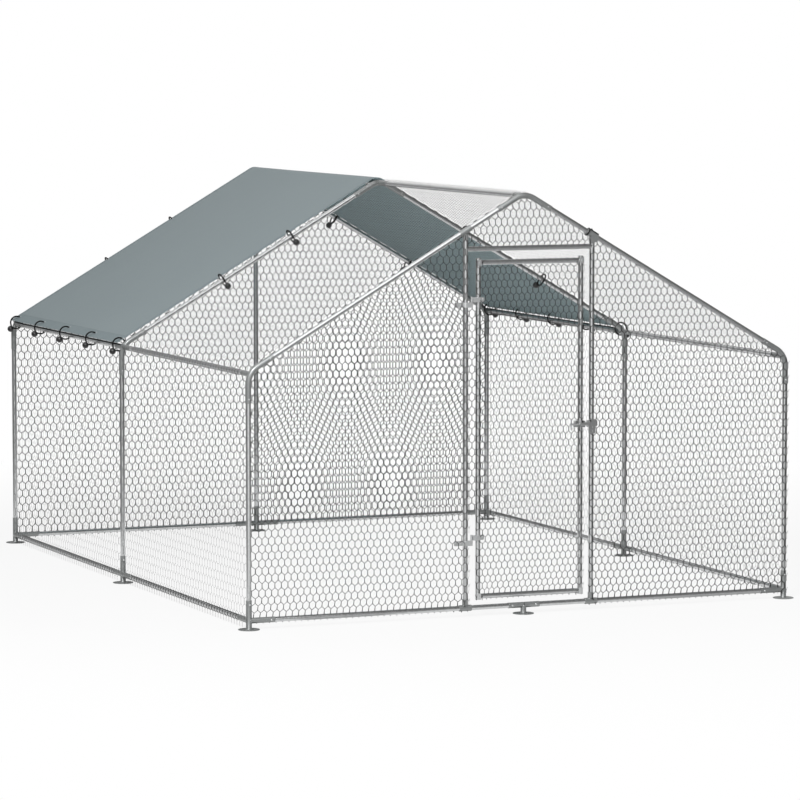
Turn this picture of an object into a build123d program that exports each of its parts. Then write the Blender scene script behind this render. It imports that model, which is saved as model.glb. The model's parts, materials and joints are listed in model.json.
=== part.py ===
from build123d import *
import math
import os

os.makedirs("parts", exist_ok=True)

# Walk-in poultry run with a steel tube frame, hexagonal wire netting, a half-length tarp and a hinged door.
# Millimetres. +X is right, -Y is the front with the door, +Z is up.
# The origin lies on the ground at the centre.

# Frame
WIDTH = 2900.0  # between the axes of the left and right posts
BAY = 1850.0  # between one gable frame and the next
EAVE_Z = 1240.0  # height where the axes of post and rafter would cross
RIDGE_Z = 2080.0  # height where the axes of the two rafters would cross
RAIL_Z = 44.0  # axis of the bottom rails
TUBE_D = 25.0
TUBE_WALL = 1.2
TUBE_SIDES = 12  # flats round each tube, sleeve and strap
FIT = 0.3  # radial play between a tube and the sleeve it is pushed into
SLEEVE_WALL = 1.5
STUB_STEP = 0.4  # how much thinner a sleeve is that is welded on to another
INSERT = 72.0  # how deep a tube sits in a sleeve

# Elbows and feet
BEND_R = 100.0  # axis radius of the bent elbows
BEND_STEPS = 4
EAVE_ARM = 148.0  # from the crossing of the axes to the mouth of an eave elbow
RIDGE_ARM = 163.0
PURLIN_ARM = 112.0  # from the frame's plane to the mouth for a purlin
CENTRE_ARM = 110.0  # from the bend down to the mouth for the rear centre post
FOOT_SLEEVE_Z = 142.0  # top of a foot's sleeve
FOOT_ARM = 132.0  # from the post's axis to the mouth for a bottom rail
FOOT_TEE_ARM = 84.0  # the same on the front centre foot, which carries no post
DISC_D = 106.0
DISC_T = 3.0
DISC_SIDES = 16

# Door opening and door
POST_LEFT_X = -315.0
POST_RIGHT_X = 367.0
HEADER_DROP = 58.4  # header's axis below the rafter's axis at the right door post
STILE_LEFT_X = -247.0
STILE_RIGHT_X = 306.0
DOOR_HEAD_GAP = 67.0  # axis of the door's top rail below the header's axis
DOOR_SILL_GAP = 55.0  # axis of the door's bottom rail above the front rail's axis
STILE_RISE = 22.0  # stile above the axis of the top rail
STILE_DROP = 16.0  # stile below the axis of the bottom rail
COPE_GAP = 0.1  # between a rail's hollowed end and the tube it bears on
TEE_HALF = 32.0  # half length of a tee clamp along the tube that it grips
TEE_STUB = 44.0
TEE_SEAT = 25.0  # from the gripped tube's axis to the end of the stub's bore

# Hinges
HINGE_RISE = 278.0  # lower hinge above the axis of the door's bottom rail
HINGE_DROP = 194.0  # upper hinge below the axis of the door's top rail
STRAP_H = 24.0
STRAP_T = 1.6
STRAP_FIT = 0.15
STRAP_SPLIT = 1.0  # between the door's strap and the post's strap
EAR_T = 4.0
POST_EAR = 60.0  # reach of the ears from the tube's axis
STILE_EAR = 32.0
PIN_D = 6.0
PIN_FIT = 0.05
KNUCKLE_D = 12.0
PIN_HEAD_D = 11.0
PIN_HEAD_H = 3.0

# Latch
LATCH_Z = 931.0
LATCH_H = 32.0
BOLT_D = 10.0
BOLT_FIT = 0.3
BARREL_D = 16.0
BOLT_FORWARD = 25.5  # bolt's axis in front of the tubes' axes
BARREL_LEFT = 16.0  # barrel's ends, from the stile's axis
BARREL_RIGHT = 28.0
BOLT_TRAVEL = 36.0
BOLT_END_PLAY = 4.0
HANDLE_D = 8.0
HANDLE_DROP = 30.0
KEEPER_GAP = 7.0  # from the drawn-back bolt to the keeper
KEEPER_T = 4.0
KEEPER_SLOT = 12.0
KEEPER_RIM = 6.0
KEEPER_TAPER = 12.0  # how far the keeper narrows at its lower end

# Netting: the real wire is too fine to model, so these are wide cells of the same proportions
NET_GAP = 0.5  # between netting and sleeves
NET_T = 1.6
STRAND_W = 8.0
CELL_W = 560.0
CELL_SIDE = 0.79  # upright side and slanted rise, as parts of a cell's width
CELL_RISE = 0.30
NET_LAP = 10.0  # past the axis of a tube at the panel's edge
GROUND_GAP = 5.0  # below the side and rear netting
FRONT_DROP = 24.0  # front netting below the axis of the bottom rail
DOOR_NET_LAP = 7.0
DOOR_NET_RISE = 12.0
DOOR_NET_DROP = 16.0
RIDGE_SLIT = 28.0  # half width left open over the ridge tube
LEAST_GAP = 30.0  # smaller cut-off gaps at the edges are left filled

# Tarp over the rear bay
TARP_GAP = 0.6  # above the netting
TARP_T = 1.2
TARP_RIDGE_R = 60.0
TARP_FRONT = 35.0  # behind the middle frame
TARP_REAR = 12.0  # past the rear frame
TARP_EAVE = 4.0  # past the crossing of the axes at the eave
GROMMET_D = 15.0
HOLE_SIDES = 6

# Ball bungees that hold the tarp
CORD_D = 4.5
LOOP_R = 36.0
LOOP_SIDES = 8
BALL_D = 32.0
BALL_SIDES = 8
BALL_CAP = 60.0  # degrees from the ball's middle ring to the edge of its flat ends
BALL_GAP = 0.3
EAVE_BUNGEES = 5
EAVE_BUNGEE_END = 48.0  # first and last bungee, from the frames
RAFTER_BUNGEES = {"left": (0.39, 0.655), "right": (0.34, 0.66)}  # places as parts of a rafter's length
REAR_LOOP_TILT = 22.0  # degrees below the slope that a rear loop is drawn to
REAR_BALL_TILT = 67.0  # the same for its ball

HALF = WIDTH / 2
TUBE_R = TUBE_D / 2
BORE_R = TUBE_R + FIT
SLEEVE_R = BORE_R + SLEEVE_WALL
STUB_R = SLEEVE_R - STUB_STEP
SLOPE = math.atan2(RIDGE_Z - EAVE_Z, HALF)
RAFTER = HALF / math.cos(SLOPE)
FRAMES = {"front": -BAY, "mid": 0.0, "rear": BAY}
SIDES = {"left": -1, "right": 1}
UP = Vector(0, 0, 1)
ALONG = Vector(0, 1, 0)
ACROSS = Vector(1, 0, 0)


def across(start, end):
    """Plane at the start of a run, turned so that the flats of tubes and sleeves lie parallel."""
    run = end - start
    x_dir = ACROSS if abs(run.Y) > run.length / 2 else ALONG
    return Plane(origin=start, x_dir=x_dir, z_dir=run)


def rod(start, end, radius):
    run = end - start
    return Solid.make_cylinder(radius, run.length, Plane(origin=start, z_dir=run))


def bar(start, end, radius, sides=TUBE_SIDES):
    return extrude(across(start, end) * RegularPolygon(radius, sides), amount=(end - start).length)


def tube(start, end):
    wall = RegularPolygon(TUBE_R, TUBE_SIDES) - RegularPolygon(TUBE_R - TUBE_WALL, TUBE_SIDES)
    return extrude(across(start, end) * wall, amount=(end - start).length)


def save(name, *solids):
    shape = solids[0] if len(solids) == 1 else Compound(children=list(solids))
    export_step(shape, f"parts/{name}.step")


def up_slope(side):
    return Vector(-side * math.cos(SLOPE), 0, math.sin(SLOPE))


def off_slope(side):
    return Vector(side * math.sin(SLOPE), 0, math.cos(SLOPE))


def eave(side, y):
    return Vector(side * HALF, y, EAVE_Z)


def ridge(y):
    return Vector(0, y, RIDGE_Z)


def rafter_z(x):
    return RIDGE_Z - abs(x) * math.tan(SLOPE)


def below_slope(side, tilt):
    """Direction to the rear that dips below the roof by a tilt in degrees."""
    return ALONG * math.cos(math.radians(tilt)) - off_slope(side) * math.sin(math.radians(tilt))


def bend(corner, arm_a, arm_b):
    """Function of a share from 0 to 1 along the elbow's bend between two arms that leave the corner."""
    turn = math.pi - math.radians(arm_a.get_angle(arm_b))
    centre = corner + (arm_a + arm_b).normalized() * (BEND_R / math.cos(turn / 2))
    tangent = BEND_R * math.tan(turn / 2)
    first = corner + arm_a * tangent - centre
    last = corner + arm_b * tangent - centre

    def point(share):
        mixed = first * math.sin((1 - share) * turn) + last * math.sin(share * turn)
        return centre + mixed * (1 / math.sin(turn))

    return point


def eave_middle(side, y):
    return bend(eave(side, y), -UP, up_slope(side))(1 / 2)


def ridge_middle(y):
    return bend(ridge(y), -up_slope(-1), -up_slope(1))(1 / 2)


def fitting(solid, mouths):
    """Cuts the bore of each mouth, given as its centre and the direction that the tube leaves in."""
    for mouth, outward in mouths:
        solid -= bar(mouth - outward * INSERT, mouth, BORE_R)
    return solid


def elbow(corner, arm_a, arm_b, reach, stubs):
    """Bent elbow with straight stubs welded on at the middle of the bend."""
    mouths = [(corner + arm_a * reach, arm_a), (corner + arm_b * reach, arm_b)]
    on_bend = bend(corner, arm_a, arm_b)
    path = Polyline(mouths[0][0], *[on_bend(k / BEND_STEPS) for k in range(BEND_STEPS + 1)], mouths[1][0])
    section = across(mouths[0][0], corner) * RegularPolygon(SLEEVE_R, TUBE_SIDES)
    body = sweep(section, path=path, transition=Transition.RIGHT)
    middle = on_bend(1 / 2)
    for outward, length in stubs:
        body += bar(middle, middle + outward * length, STUB_R)
        mouths.append((middle + outward * length, outward))
    return fitting(body, mouths)


def purlin_stubs(frame):
    to_rear = (ALONG, PURLIN_ARM)
    to_front = (-ALONG, PURLIN_ARM)
    return {"front": [to_rear], "mid": [to_front, to_rear], "rear": [to_front]}[frame]


def foot(x, y, arms, reach=FOOT_ARM, post=True):
    """Round foot plate with a post sleeve and an arm for each bottom rail."""
    top = FOOT_SLEEVE_Z if post else RAIL_Z
    axis = Vector(x, y, RAIL_Z)
    body = bar(Vector(x, y, 0), Vector(x, y, DISC_T), DISC_D / 2, DISC_SIDES)
    body += bar(Vector(x, y, 0), Vector(x, y, top), SLEEVE_R)
    mouths = [(Vector(x, y, top), UP)] if post else []
    for outward in arms:
        body += bar(axis, axis + outward * reach, STUB_R)
        mouths.append((axis + outward * reach, outward))
    return fitting(body, mouths)


def tee_clamp(centre, run, stub):
    """Clamp that grips a tube running through it and takes the end of another."""
    body = bar(centre - run * TEE_HALF, centre + run * TEE_HALF, SLEEVE_R)
    body += bar(centre, centre + stub * TEE_STUB, STUB_R)
    body -= bar(centre - run * TEE_HALF, centre + run * TEE_HALF, BORE_R)
    body -= bar(centre + stub * TEE_SEAT, centre + stub * TEE_STUB, BORE_R)
    return body


def coped_tube(start, end):
    """Tube between two uprights, with both ends hollowed to bear on them."""
    solid = tube(start, end)
    for upright in (start, end):
        solid -= bar(upright - UP * TUBE_D, upright + UP * TUBE_D, TUBE_R + COPE_GAP)
    return solid


def clip(outline, corner, edge_end, margin):
    """Keeps the part of a convex outline that lies at least margin to the left of an edge."""
    ex, ey = edge_end[0] - corner[0], edge_end[1] - corner[1]
    length = math.hypot(ex, ey)

    def depth(p):
        return (ex * (p[1] - corner[1]) - ey * (p[0] - corner[0])) / length - margin

    kept = []
    for p, q in zip(outline, outline[1:] + outline[:1]):
        if depth(p) >= 0:
            kept.append(p)
        if depth(p) * depth(q) < 0:
            share = depth(p) / (depth(p) - depth(q))
            kept.append((p[0] + share * (q[0] - p[0]), p[1] + share * (q[1] - p[1])))
    return kept


def area(outline):
    pairs = zip(outline, outline[1:] + outline[:1])
    return sum(p[0] * q[1] - q[0] * p[1] for p, q in pairs) / 2


def cell(x, y):
    """One pointed hexagon, smaller than its place by the width of a strand."""
    shrink = 1 - STRAND_W / CELL_W
    half_w = CELL_W / 2 * shrink
    half_side = CELL_SIDE / 2 * CELL_W * shrink
    tip = half_side + CELL_RISE * CELL_W * shrink
    right = [(half_w, -half_side), (half_w, half_side), (0, tip)]
    return [(x + dx, y + dy) for dx, dy in right + [(-dx, -dy) for dx, dy in right]]


def steps(places, pitch):
    """Whole steps of a pitch that cover all the places, with one to spare at each end."""
    return range(math.floor(min(places) / pitch) - 1, math.ceil(max(places) / pitch) + 2)


def net(plane, outline):
    """Flat panel of netting: one holed face, thickened outwards along the plane's normal."""
    pitch = (CELL_SIDE + CELL_RISE) * CELL_W
    edges = list(zip(outline, outline[1:] + outline[:1]))
    gaps = []
    for row in steps([p[1] for p in outline], pitch):
        for column in steps([p[0] for p in outline], CELL_W):
            gap = cell((column + row % 2 / 2) * CELL_W, row * pitch)
            for corner, edge_end in edges:
                gap = clip(gap, corner, edge_end, STRAND_W)
            if len(gap) > 2 and area(gap) > LEAST_GAP**2:
                gaps.append(gap)
    wires = [Wire.make_polygon([plane.from_local_coords(p) for p in ring]) for ring in [outline] + gaps]
    return Solid.extrude(Face(wires[0], wires[1:]), plane.z_dir * NET_T)


def band(x, h, low, ear, ear_side):
    """Strap of height h bent round an upright tube, with ears that a bolt draws together."""
    inner = TUBE_R + STRAP_FIT
    outer = inner + STRAP_T
    ear_middle = Pos(ear_side * (outer + ear) / 2 - ear_side * STRAP_T / 2, 0)
    profile = RegularPolygon(outer, TUBE_SIDES) + ear_middle * Rectangle(ear - outer + STRAP_T, EAR_T)
    profile -= RegularPolygon(inner, TUBE_SIDES)
    return extrude(Plane(origin=(x, -BAY, low)) * profile, amount=h)


def hinge_strap(x, low, ear, ear_side):
    """Strap with ears on one side and a knuckle for the pin on the other."""
    outer = TUBE_R + STRAP_FIT + STRAP_T
    reach = abs(HINGE_X - x)
    tongue = Rectangle(reach - outer + STRAP_T, EAR_T)
    tongue = Pos(-ear_side * (reach + outer - STRAP_T) / 2, 0) * tongue
    profile = tongue + Pos(-ear_side * reach, 0) * RegularPolygon(KNUCKLE_D / 2, TUBE_SIDES)
    profile -= Pos(-ear_side * reach, 0) * Circle(PIN_D / 2 + PIN_FIT)
    leaf = extrude(Plane(origin=(x, -BAY, low)) * profile, amount=STRAP_H)
    return band(x, STRAP_H, low, ear, ear_side) + leaf


def hinge_pin(z):
    """Pin through both knuckles, with a head at the top and the bottom."""
    reach = STRAP_SPLIT / 2 + STRAP_H
    base = Vector(HINGE_X, -BAY, z)
    pin = rod(base - UP * reach, base + UP * reach, PIN_D / 2)
    for end in (-1, 1):
        pin += bar(base + UP * end * reach, base + UP * end * (reach + PIN_HEAD_H), PIN_HEAD_D / 2)
    return pin


def bungee_loop(centre, run, outward):
    """Cord loop round a tube that runs along run, square in section, with its ball towards outward."""
    plane = Plane(origin=centre - run * CORD_D / 2, x_dir=outward, z_dir=run)
    radii = (LOOP_R + CORD_D / 2, LOOP_R - CORD_D / 2)
    outer, inner = [RegularPolygon(r, LOOP_SIDES, rotation=180 / LOOP_SIDES) for r in radii]
    return extrude(plane * (outer - inner), amount=CORD_D)


def bungee_ball(centre, outward):
    """Faceted ball on the outside of the loop."""
    cap = math.radians(BALL_CAP)
    height = BALL_D / 2 * math.sin(cap)
    narrowing = BALL_D / 2 * (1 - math.cos(cap)) * math.cos(math.pi / BALL_SIDES)
    middle = centre + outward * ((LOOP_R + CORD_D / 2) * LOOP_FLAT + BALL_GAP + height)
    taper = math.degrees(math.atan2(narrowing, height))
    ring = RegularPolygon(BALL_D / 2, BALL_SIDES)
    halves = [Plane(origin=middle, z_dir=way) * ring for way in (-outward, outward)]
    inner, outer = [extrude(half, amount=height, taper=taper) for half in halves]
    return inner + outer


HEADER_Z = rafter_z(POST_RIGHT_X) - HEADER_DROP
DOOR_TOP_Z = HEADER_Z - DOOR_HEAD_GAP
DOOR_BOTTOM_Z = RAIL_Z + DOOR_SILL_GAP
HINGE_ZS = (DOOR_BOTTOM_Z + HINGE_RISE, DOOR_TOP_Z - HINGE_DROP)
HINGE_X = (POST_LEFT_X + STILE_LEFT_X) / 2
NET_OUT = SLEEVE_R + NET_GAP
TARP_OUT = NET_OUT + NET_T + TARP_GAP
BUNGEE_STEP = (BAY - 2 * EAVE_BUNGEE_END) / (EAVE_BUNGEES - 1)
LOOP_FLAT = math.cos(math.pi / LOOP_SIDES)

# Gable frames: posts, rafters, elbows
for frame, y in FRAMES.items():
    for name, side in SIDES.items():
        foot_seat = Vector(side * HALF, y, FOOT_SLEEVE_Z - INSERT)
        eave_seat = eave(side, y) - UP * (EAVE_ARM - INSERT)
        save(f"{frame}_{name}_post", tube(foot_seat, eave_seat))
        low_seat = eave(side, y) + up_slope(side) * (EAVE_ARM - INSERT)
        high_seat = ridge(y) - up_slope(side) * (RIDGE_ARM - INSERT)
        save(f"{frame}_{name}_rafter", tube(low_seat, high_seat))
    elbows = []
    for side in SIDES.values():
        elbows.append(elbow(eave(side, y), -UP, up_slope(side), EAVE_ARM, purlin_stubs(frame)))
    save(f"{frame}_eave_elbows", *elbows)

centre_post_top = ridge_middle(BAY) - UP * (CENTRE_ARM - INSERT)
save("rear_centre_post", tube(Vector(0, BAY, FOOT_SLEEVE_Z - INSERT), centre_post_top))

ridge_elbows = []
for frame, y in FRAMES.items():
    stubs = purlin_stubs(frame)
    if frame == "rear":
        stubs.append((-UP, CENTRE_ARM))
    ridge_elbows.append(elbow(ridge(y), -up_slope(-1), -up_slope(1), RIDGE_ARM, stubs))
save("ridge_elbows", *ridge_elbows)

# Purlins along the eaves and the ridge, and bottom rails
seat = PURLIN_ARM - INSERT
bays = [(FRAMES["front"], FRAMES["mid"]), (FRAMES["mid"], FRAMES["rear"])]
for name, side in SIDES.items():
    runs = [(eave_middle(side, a) + ALONG * seat, eave_middle(side, b) - ALONG * seat) for a, b in bays]
    save(f"{name}_eave_purlins", *[tube(a, b) for a, b in runs])
    rail = [(Vector(side * HALF, a, RAIL_Z), Vector(side * HALF, b, RAIL_Z)) for a, b in bays]
    inset = ALONG * (FOOT_ARM - INSERT)
    save(f"{name}_bottom_rails", *[tube(a + inset, b - inset) for a, b in rail])
runs = [(ridge_middle(a) + ALONG * seat, ridge_middle(b) - ALONG * seat) for a, b in bays]
save("ridge_purlins", *[tube(a, b) for a, b in runs])
for frame, centre_reach in (("front", FOOT_TEE_ARM), ("rear", FOOT_ARM)):
    rails = []
    for side in SIDES.values():
        outer_end = Vector(side * (HALF - FOOT_ARM + INSERT), FRAMES[frame], RAIL_Z)
        inner_end = Vector(side * (centre_reach - INSERT), FRAMES[frame], RAIL_Z)
        rails.append(tube(outer_end, inner_end))
    save(f"{frame}_bottom_rails", *rails)

# Feet
save("front_corner_feet", *[foot(s * HALF, -BAY, [-ACROSS * s, ALONG]) for s in SIDES.values()])
save("mid_side_feet", *[foot(s * HALF, 0, [-ALONG, ALONG]) for s in SIDES.values()])
save("rear_corner_feet", *[foot(s * HALF, BAY, [-ACROSS * s, -ALONG]) for s in SIDES.values()])
save("front_centre_foot", foot(0, -BAY, [-ACROSS, ACROSS], FOOT_TEE_ARM, post=False))
save("rear_centre_foot", foot(0, BAY, [-ACROSS, ACROSS]))

# Door posts, their clamps and the header
clamps = []
for name, x in (("left", POST_LEFT_X), ("right", POST_RIGHT_X)):
    on_rail = Vector(x, -BAY, RAIL_Z)
    on_rafter = Vector(x, -BAY, rafter_z(x))
    save(f"{name}_door_post", tube(on_rail + UP * TEE_SEAT, on_rafter - UP * TEE_SEAT))
    clamps.append(tee_clamp(on_rail, ACROSS, UP))
    clamps.append(tee_clamp(on_rafter, up_slope(math.copysign(1, x)), -UP))
save("door_post_clamps", *clamps)
save("door_header", coped_tube(Vector(POST_LEFT_X, -BAY, HEADER_Z), Vector(POST_RIGHT_X, -BAY, HEADER_Z)))

# Netting on the walls
front = Plane(origin=(0, -BAY - NET_OUT, 0), x_dir=(1, 0, 0), z_dir=(0, -1, 0))
rear = Plane(origin=(0, BAY + NET_OUT, 0), x_dir=(-1, 0, 0), z_dir=(0, 1, 0))
wall_end = HALF + NET_LAP
front_foot = RAIL_Z - FRONT_DROP
net_top = ridge_middle(0).Z + NET_LAP
peak = (RIDGE_Z + NET_LAP - net_top) / math.tan(SLOPE)
seam = NET_LAP - NET_T


def net_z(x):
    return rafter_z(x) + NET_LAP


def gable(low_x, high_x, foot_z):
    """Outline of a panel that runs up to the ridge."""
    foot_edge = [(low_x, foot_z), (high_x, foot_z)]
    return foot_edge + [(high_x, net_z(high_x)), (peak, net_top), (-peak, net_top), (low_x, net_z(low_x))]


def beside_door(low_x, high_x):
    """Outline of a front panel, from one upright edge to the other."""
    foot_edge = [(low_x, front_foot), (high_x, front_foot)]
    return foot_edge + [(high_x, net_z(high_x)), (low_x, net_z(low_x))]


save("front_left_net", net(front, beside_door(-wall_end, POST_LEFT_X + seam)))
save("front_right_net", net(front, beside_door(POST_RIGHT_X - seam, wall_end)))
over_left = POST_LEFT_X + NET_LAP
over_right = POST_RIGHT_X - NET_LAP
over_foot = HEADER_Z - NET_LAP
save("front_top_net", net(front, gable(over_left, over_right, over_foot)))
save("rear_net", net(rear, gable(-wall_end, wall_end, GROUND_GAP)))
side_end = BAY + NET_LAP
side_top = EAVE_Z + NET_LAP / 2
for name, side in SIDES.items():
    wall = Plane(origin=(side * (HALF + NET_OUT), 0, 0), x_dir=(0, side, 0), z_dir=(side, 0, 0))
    outline = [(-side_end, GROUND_GAP), (side_end, GROUND_GAP), (side_end, side_top), (-side_end, side_top)]
    save(f"{name}_wall_net", net(wall, outline))
    on_eave = eave(side, 0) + off_slope(side) * NET_OUT
    slope = Plane(origin=on_eave, x_dir=(0, side, 0), z_dir=off_slope(side))
    roof_end = (HALF - RIDGE_SLIT + side * off_slope(side).X * NET_OUT) / math.cos(SLOPE)
    outline = [(-side_end, 0), (side_end, 0), (side_end, roof_end), (-side_end, roof_end)]
    save(f"{name}_roof_net", net(slope, outline))

# Bungees: each loop bears on its tube on the side away from the tarp's pull, with the ball hanging outside
middle_y = FRAMES["mid"]
loop_seat = (LOOP_R - CORD_D / 2) * LOOP_FLAT - TUBE_R - BALL_GAP
sleeve_seat = loop_seat + TUBE_R - STUB_R
ties = []
for name, side in SIDES.items():
    for k in range(EAVE_BUNGEES):
        behind = EAVE_BUNGEE_END + k * BUNGEE_STEP
        on_sleeve = min(behind, BAY - behind) < PURLIN_ARM + CORD_D
        away = (ACROSS * side + UP).normalized() * (sleeve_seat if on_sleeve else loop_seat)
        centre = eave_middle(side, middle_y + behind) + away
        ties.append((side, centre, ALONG, ACROSS * side - UP, up_slope(side)))
    for share in RAFTER_BUNGEES[name]:
        axis = eave(side, middle_y) + up_slope(side) * share * RAFTER
        centre = axis + ALONG * loop_seat
        ties.append((side, centre, up_slope(side), ALONG * side - off_slope(side), ALONG))
        centre = axis + ALONG * BAY + below_slope(side, REAR_LOOP_TILT) * loop_seat
        ties.append((side, centre, up_slope(side), below_slope(side, REAR_BALL_TILT), -ALONG))
save("bungee_cords", *[bungee_loop(centre, run, ball) for side, centre, run, ball, inward in ties])
save("bungee_balls", *[bungee_ball(centre, ball.normalized()) for side, centre, run, ball, inward in ties])

# Tarp with a rounded ridge and a hole for each bungee
tarp_low = [eave(s, 0) - up_slope(s) * TARP_EAVE + off_slope(s) * TARP_OUT for s in (-1, 1)]
tarp_top = Vector(0, 0, RIDGE_Z + TARP_OUT / math.cos(SLOPE))
underside = FilletPolyline(tarp_low[0], tarp_top, tarp_low[1], radius=TARP_RIDGE_R)
lift = TARP_T / math.cos(SLOPE)
over_low = [p + off_slope(s) * TARP_T for p, s in zip(tarp_low, (-1, 1))]
upper = FilletPolyline(over_low[0], tarp_top + UP * lift, over_low[1], radius=TARP_RIDGE_R + TARP_T)
ends = [Line(a, b) for a, b in zip(tarp_low, over_low)]
section = make_face([underside, upper] + ends)
section = section.translate(Vector(0, TARP_FRONT, 0))
tarp = extrude(section, amount=BAY + TARP_REAR - TARP_FRONT, dir=ALONG)
for side, centre, run, ball, inward in ties:
    rise = TARP_OUT + TARP_T / 2 - (centre - eave(side, centre.Y)).dot(off_slope(side))
    reach = math.sqrt((LOOP_R * (1 + LOOP_FLAT) / 2) ** 2 - rise**2)
    place = Plane(origin=centre + inward * reach, x_dir=ALONG, z_dir=off_slope(side))
    tarp -= extrude(place * RegularPolygon(GROMMET_D / 2, HOLE_SIDES), amount=LOOP_R, both=True)
save("tarp", tarp)

# Door
stile_foot = DOOR_BOTTOM_Z - STILE_DROP
stile_top = DOOR_TOP_Z + STILE_RISE
for name, x in (("left", STILE_LEFT_X), ("right", STILE_RIGHT_X)):
    save(f"door_{name}_stile", tube(Vector(x, -BAY, stile_foot), Vector(x, -BAY, stile_top)))
for name, z in (("top", DOOR_TOP_Z), ("bottom", DOOR_BOTTOM_Z)):
    save(f"door_{name}_rail", coped_tube(Vector(STILE_LEFT_X, -BAY, z), Vector(STILE_RIGHT_X, -BAY, z)))
door_left = STILE_LEFT_X - DOOR_NET_LAP
door_right = STILE_RIGHT_X + DOOR_NET_LAP
net_low = DOOR_BOTTOM_Z - DOOR_NET_DROP
net_high = DOOR_TOP_Z + DOOR_NET_RISE
door_sides = [(door_left, net_low), (door_right, net_low), (door_right, net_high), (door_left, net_high)]
save("door_net", net(front, door_sides))

# Hinges: the post's strap below, the door's strap above, on one pin
post_low = -STRAP_SPLIT / 2 - STRAP_H
save("hinge_post_straps", *[hinge_strap(POST_LEFT_X, z + post_low, POST_EAR, -1) for z in HINGE_ZS])
save("hinge_door_straps", *[hinge_strap(STILE_LEFT_X, z + STRAP_SPLIT / 2, STILE_EAR, 1) for z in HINGE_ZS])
save("hinge_pins", *[hinge_pin(z) for z in HINGE_ZS])

# Latch: barrel on the door's stile, sliding bolt, keeper on the door post
latch_low = LATCH_Z - LATCH_H / 2
bolt_axis = Vector(STILE_RIGHT_X, -BAY - BOLT_FORWARD, LATCH_Z)
barrel_end = bolt_axis + ACROSS * BARREL_RIGHT
barrel_start = bolt_axis - ACROSS * BARREL_LEFT
strap_r = TUBE_R + STRAP_FIT + STRAP_T
latch_plate = Pos(strap_r + EAR_T / 2 - STRAP_T / 2, -BOLT_FORWARD / 2) * Rectangle(EAR_T, BOLT_FORWARD)
barrel = band(STILE_RIGHT_X, LATCH_H, latch_low, STILE_EAR, -1)
barrel += extrude(Plane(origin=(STILE_RIGHT_X, -BAY, latch_low)) * latch_plate, amount=LATCH_H)
barrel += bar(barrel_start, barrel_end, BARREL_D / 2)
barrel -= rod(barrel_start, barrel_end, BOLT_D / 2 + BOLT_FIT)
save("latch_barrel", barrel)
handle = barrel_start - ACROSS * (BOLT_TRAVEL + BOLT_END_PLAY + HANDLE_D / 2)
bolt = rod(handle - ACROSS * HANDLE_D, barrel_end, BOLT_D / 2)
bolt += bar(handle, handle - UP * HANDLE_DROP, HANDLE_D / 2)
save("latch_bolt", bolt)

keeper_x = barrel_end.X + KEEPER_GAP
web_end = POST_RIGHT_X - TUBE_R - STRAP_FIT - STRAP_T / 2
keeper_front = BOLT_FORWARD + KEEPER_SLOT / 2 + KEEPER_RIM
web = Pos((keeper_x + web_end) / 2 - POST_RIGHT_X, 0) * Rectangle(web_end - keeper_x, KEEPER_T)
plate = Pos(keeper_x + KEEPER_T / 2 - POST_RIGHT_X, (KEEPER_T / 2 - keeper_front) / 2)
plate *= Rectangle(KEEPER_T, keeper_front + KEEPER_T / 2)
keeper = band(POST_RIGHT_X, LATCH_H, latch_low, STILE_EAR, 1)
keeper += extrude(Plane(origin=(POST_RIGHT_X, -BAY, latch_low)) * (web + plate), amount=LATCH_H)
slot_centre = Vector(keeper_x + KEEPER_T / 2, bolt_axis.Y, LATCH_Z)
keeper -= Pos(slot_centre) * Box(KEEPER_T * 2, KEEPER_SLOT, KEEPER_SLOT)
taper = [(0, 0), (KEEPER_TAPER, 0), (0, KEEPER_TAPER)]
taper_plane = Plane(origin=(keeper_x, -BAY - keeper_front, latch_low), x_dir=(0, 1, 0), z_dir=(1, 0, 0))
keeper -= extrude(taper_plane * make_face(Polyline(*taper, close=True)), amount=KEEPER_T)
save("latch_keeper", keeper)
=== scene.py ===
import json
from math import atan2, cos, pi, radians, sin, sqrt, tan

import bmesh
import bpy
from mathutils import Matrix, Vector


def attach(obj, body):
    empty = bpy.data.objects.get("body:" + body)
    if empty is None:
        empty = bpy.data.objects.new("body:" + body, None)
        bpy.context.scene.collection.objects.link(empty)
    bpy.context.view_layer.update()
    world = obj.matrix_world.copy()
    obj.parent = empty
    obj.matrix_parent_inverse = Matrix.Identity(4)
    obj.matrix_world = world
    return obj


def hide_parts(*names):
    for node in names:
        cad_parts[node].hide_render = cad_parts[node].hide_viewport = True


# Walk-in poultry run. Metres, +X right, -Y front with the door, +Z up, origin on the ground at the centre.

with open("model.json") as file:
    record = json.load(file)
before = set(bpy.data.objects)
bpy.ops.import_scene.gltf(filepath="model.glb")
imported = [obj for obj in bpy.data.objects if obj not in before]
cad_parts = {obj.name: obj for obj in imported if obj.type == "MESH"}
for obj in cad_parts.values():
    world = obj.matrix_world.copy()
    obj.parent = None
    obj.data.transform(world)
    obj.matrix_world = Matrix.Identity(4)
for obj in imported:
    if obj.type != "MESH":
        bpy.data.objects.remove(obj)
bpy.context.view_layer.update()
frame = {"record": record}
BODY_OF = {node: body for body, nodes in frame["record"]["behaviour"]["bodies"].items() for node in nodes}

# Sizes of the steel frame
HALF = 1.45
BAY = 1.85
EAVE_Z = 1.24
RIDGE_Z = 2.08
RAIL_Z = 0.044
TUBE_R = 0.0125
TUBE_BORE = 0.0113
BORE_R = 0.0128
SLEEVE_R = 0.0143
STUB_R = 0.0139
STUB_ROOT = 0.002
INSERT = 0.072
BEND_R = 0.100
EAVE_ARM = 0.148
RIDGE_ARM = 0.163
PURLIN_ARM = 0.112
CENTRE_ARM = 0.110
FOOT_TOP = 0.142
FOOT_ARM = 0.132
FOOT_TEE_ARM = 0.084
DISC_R = 0.053
DISC_T = 0.003
DISC_BEVEL = 0.0007
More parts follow.
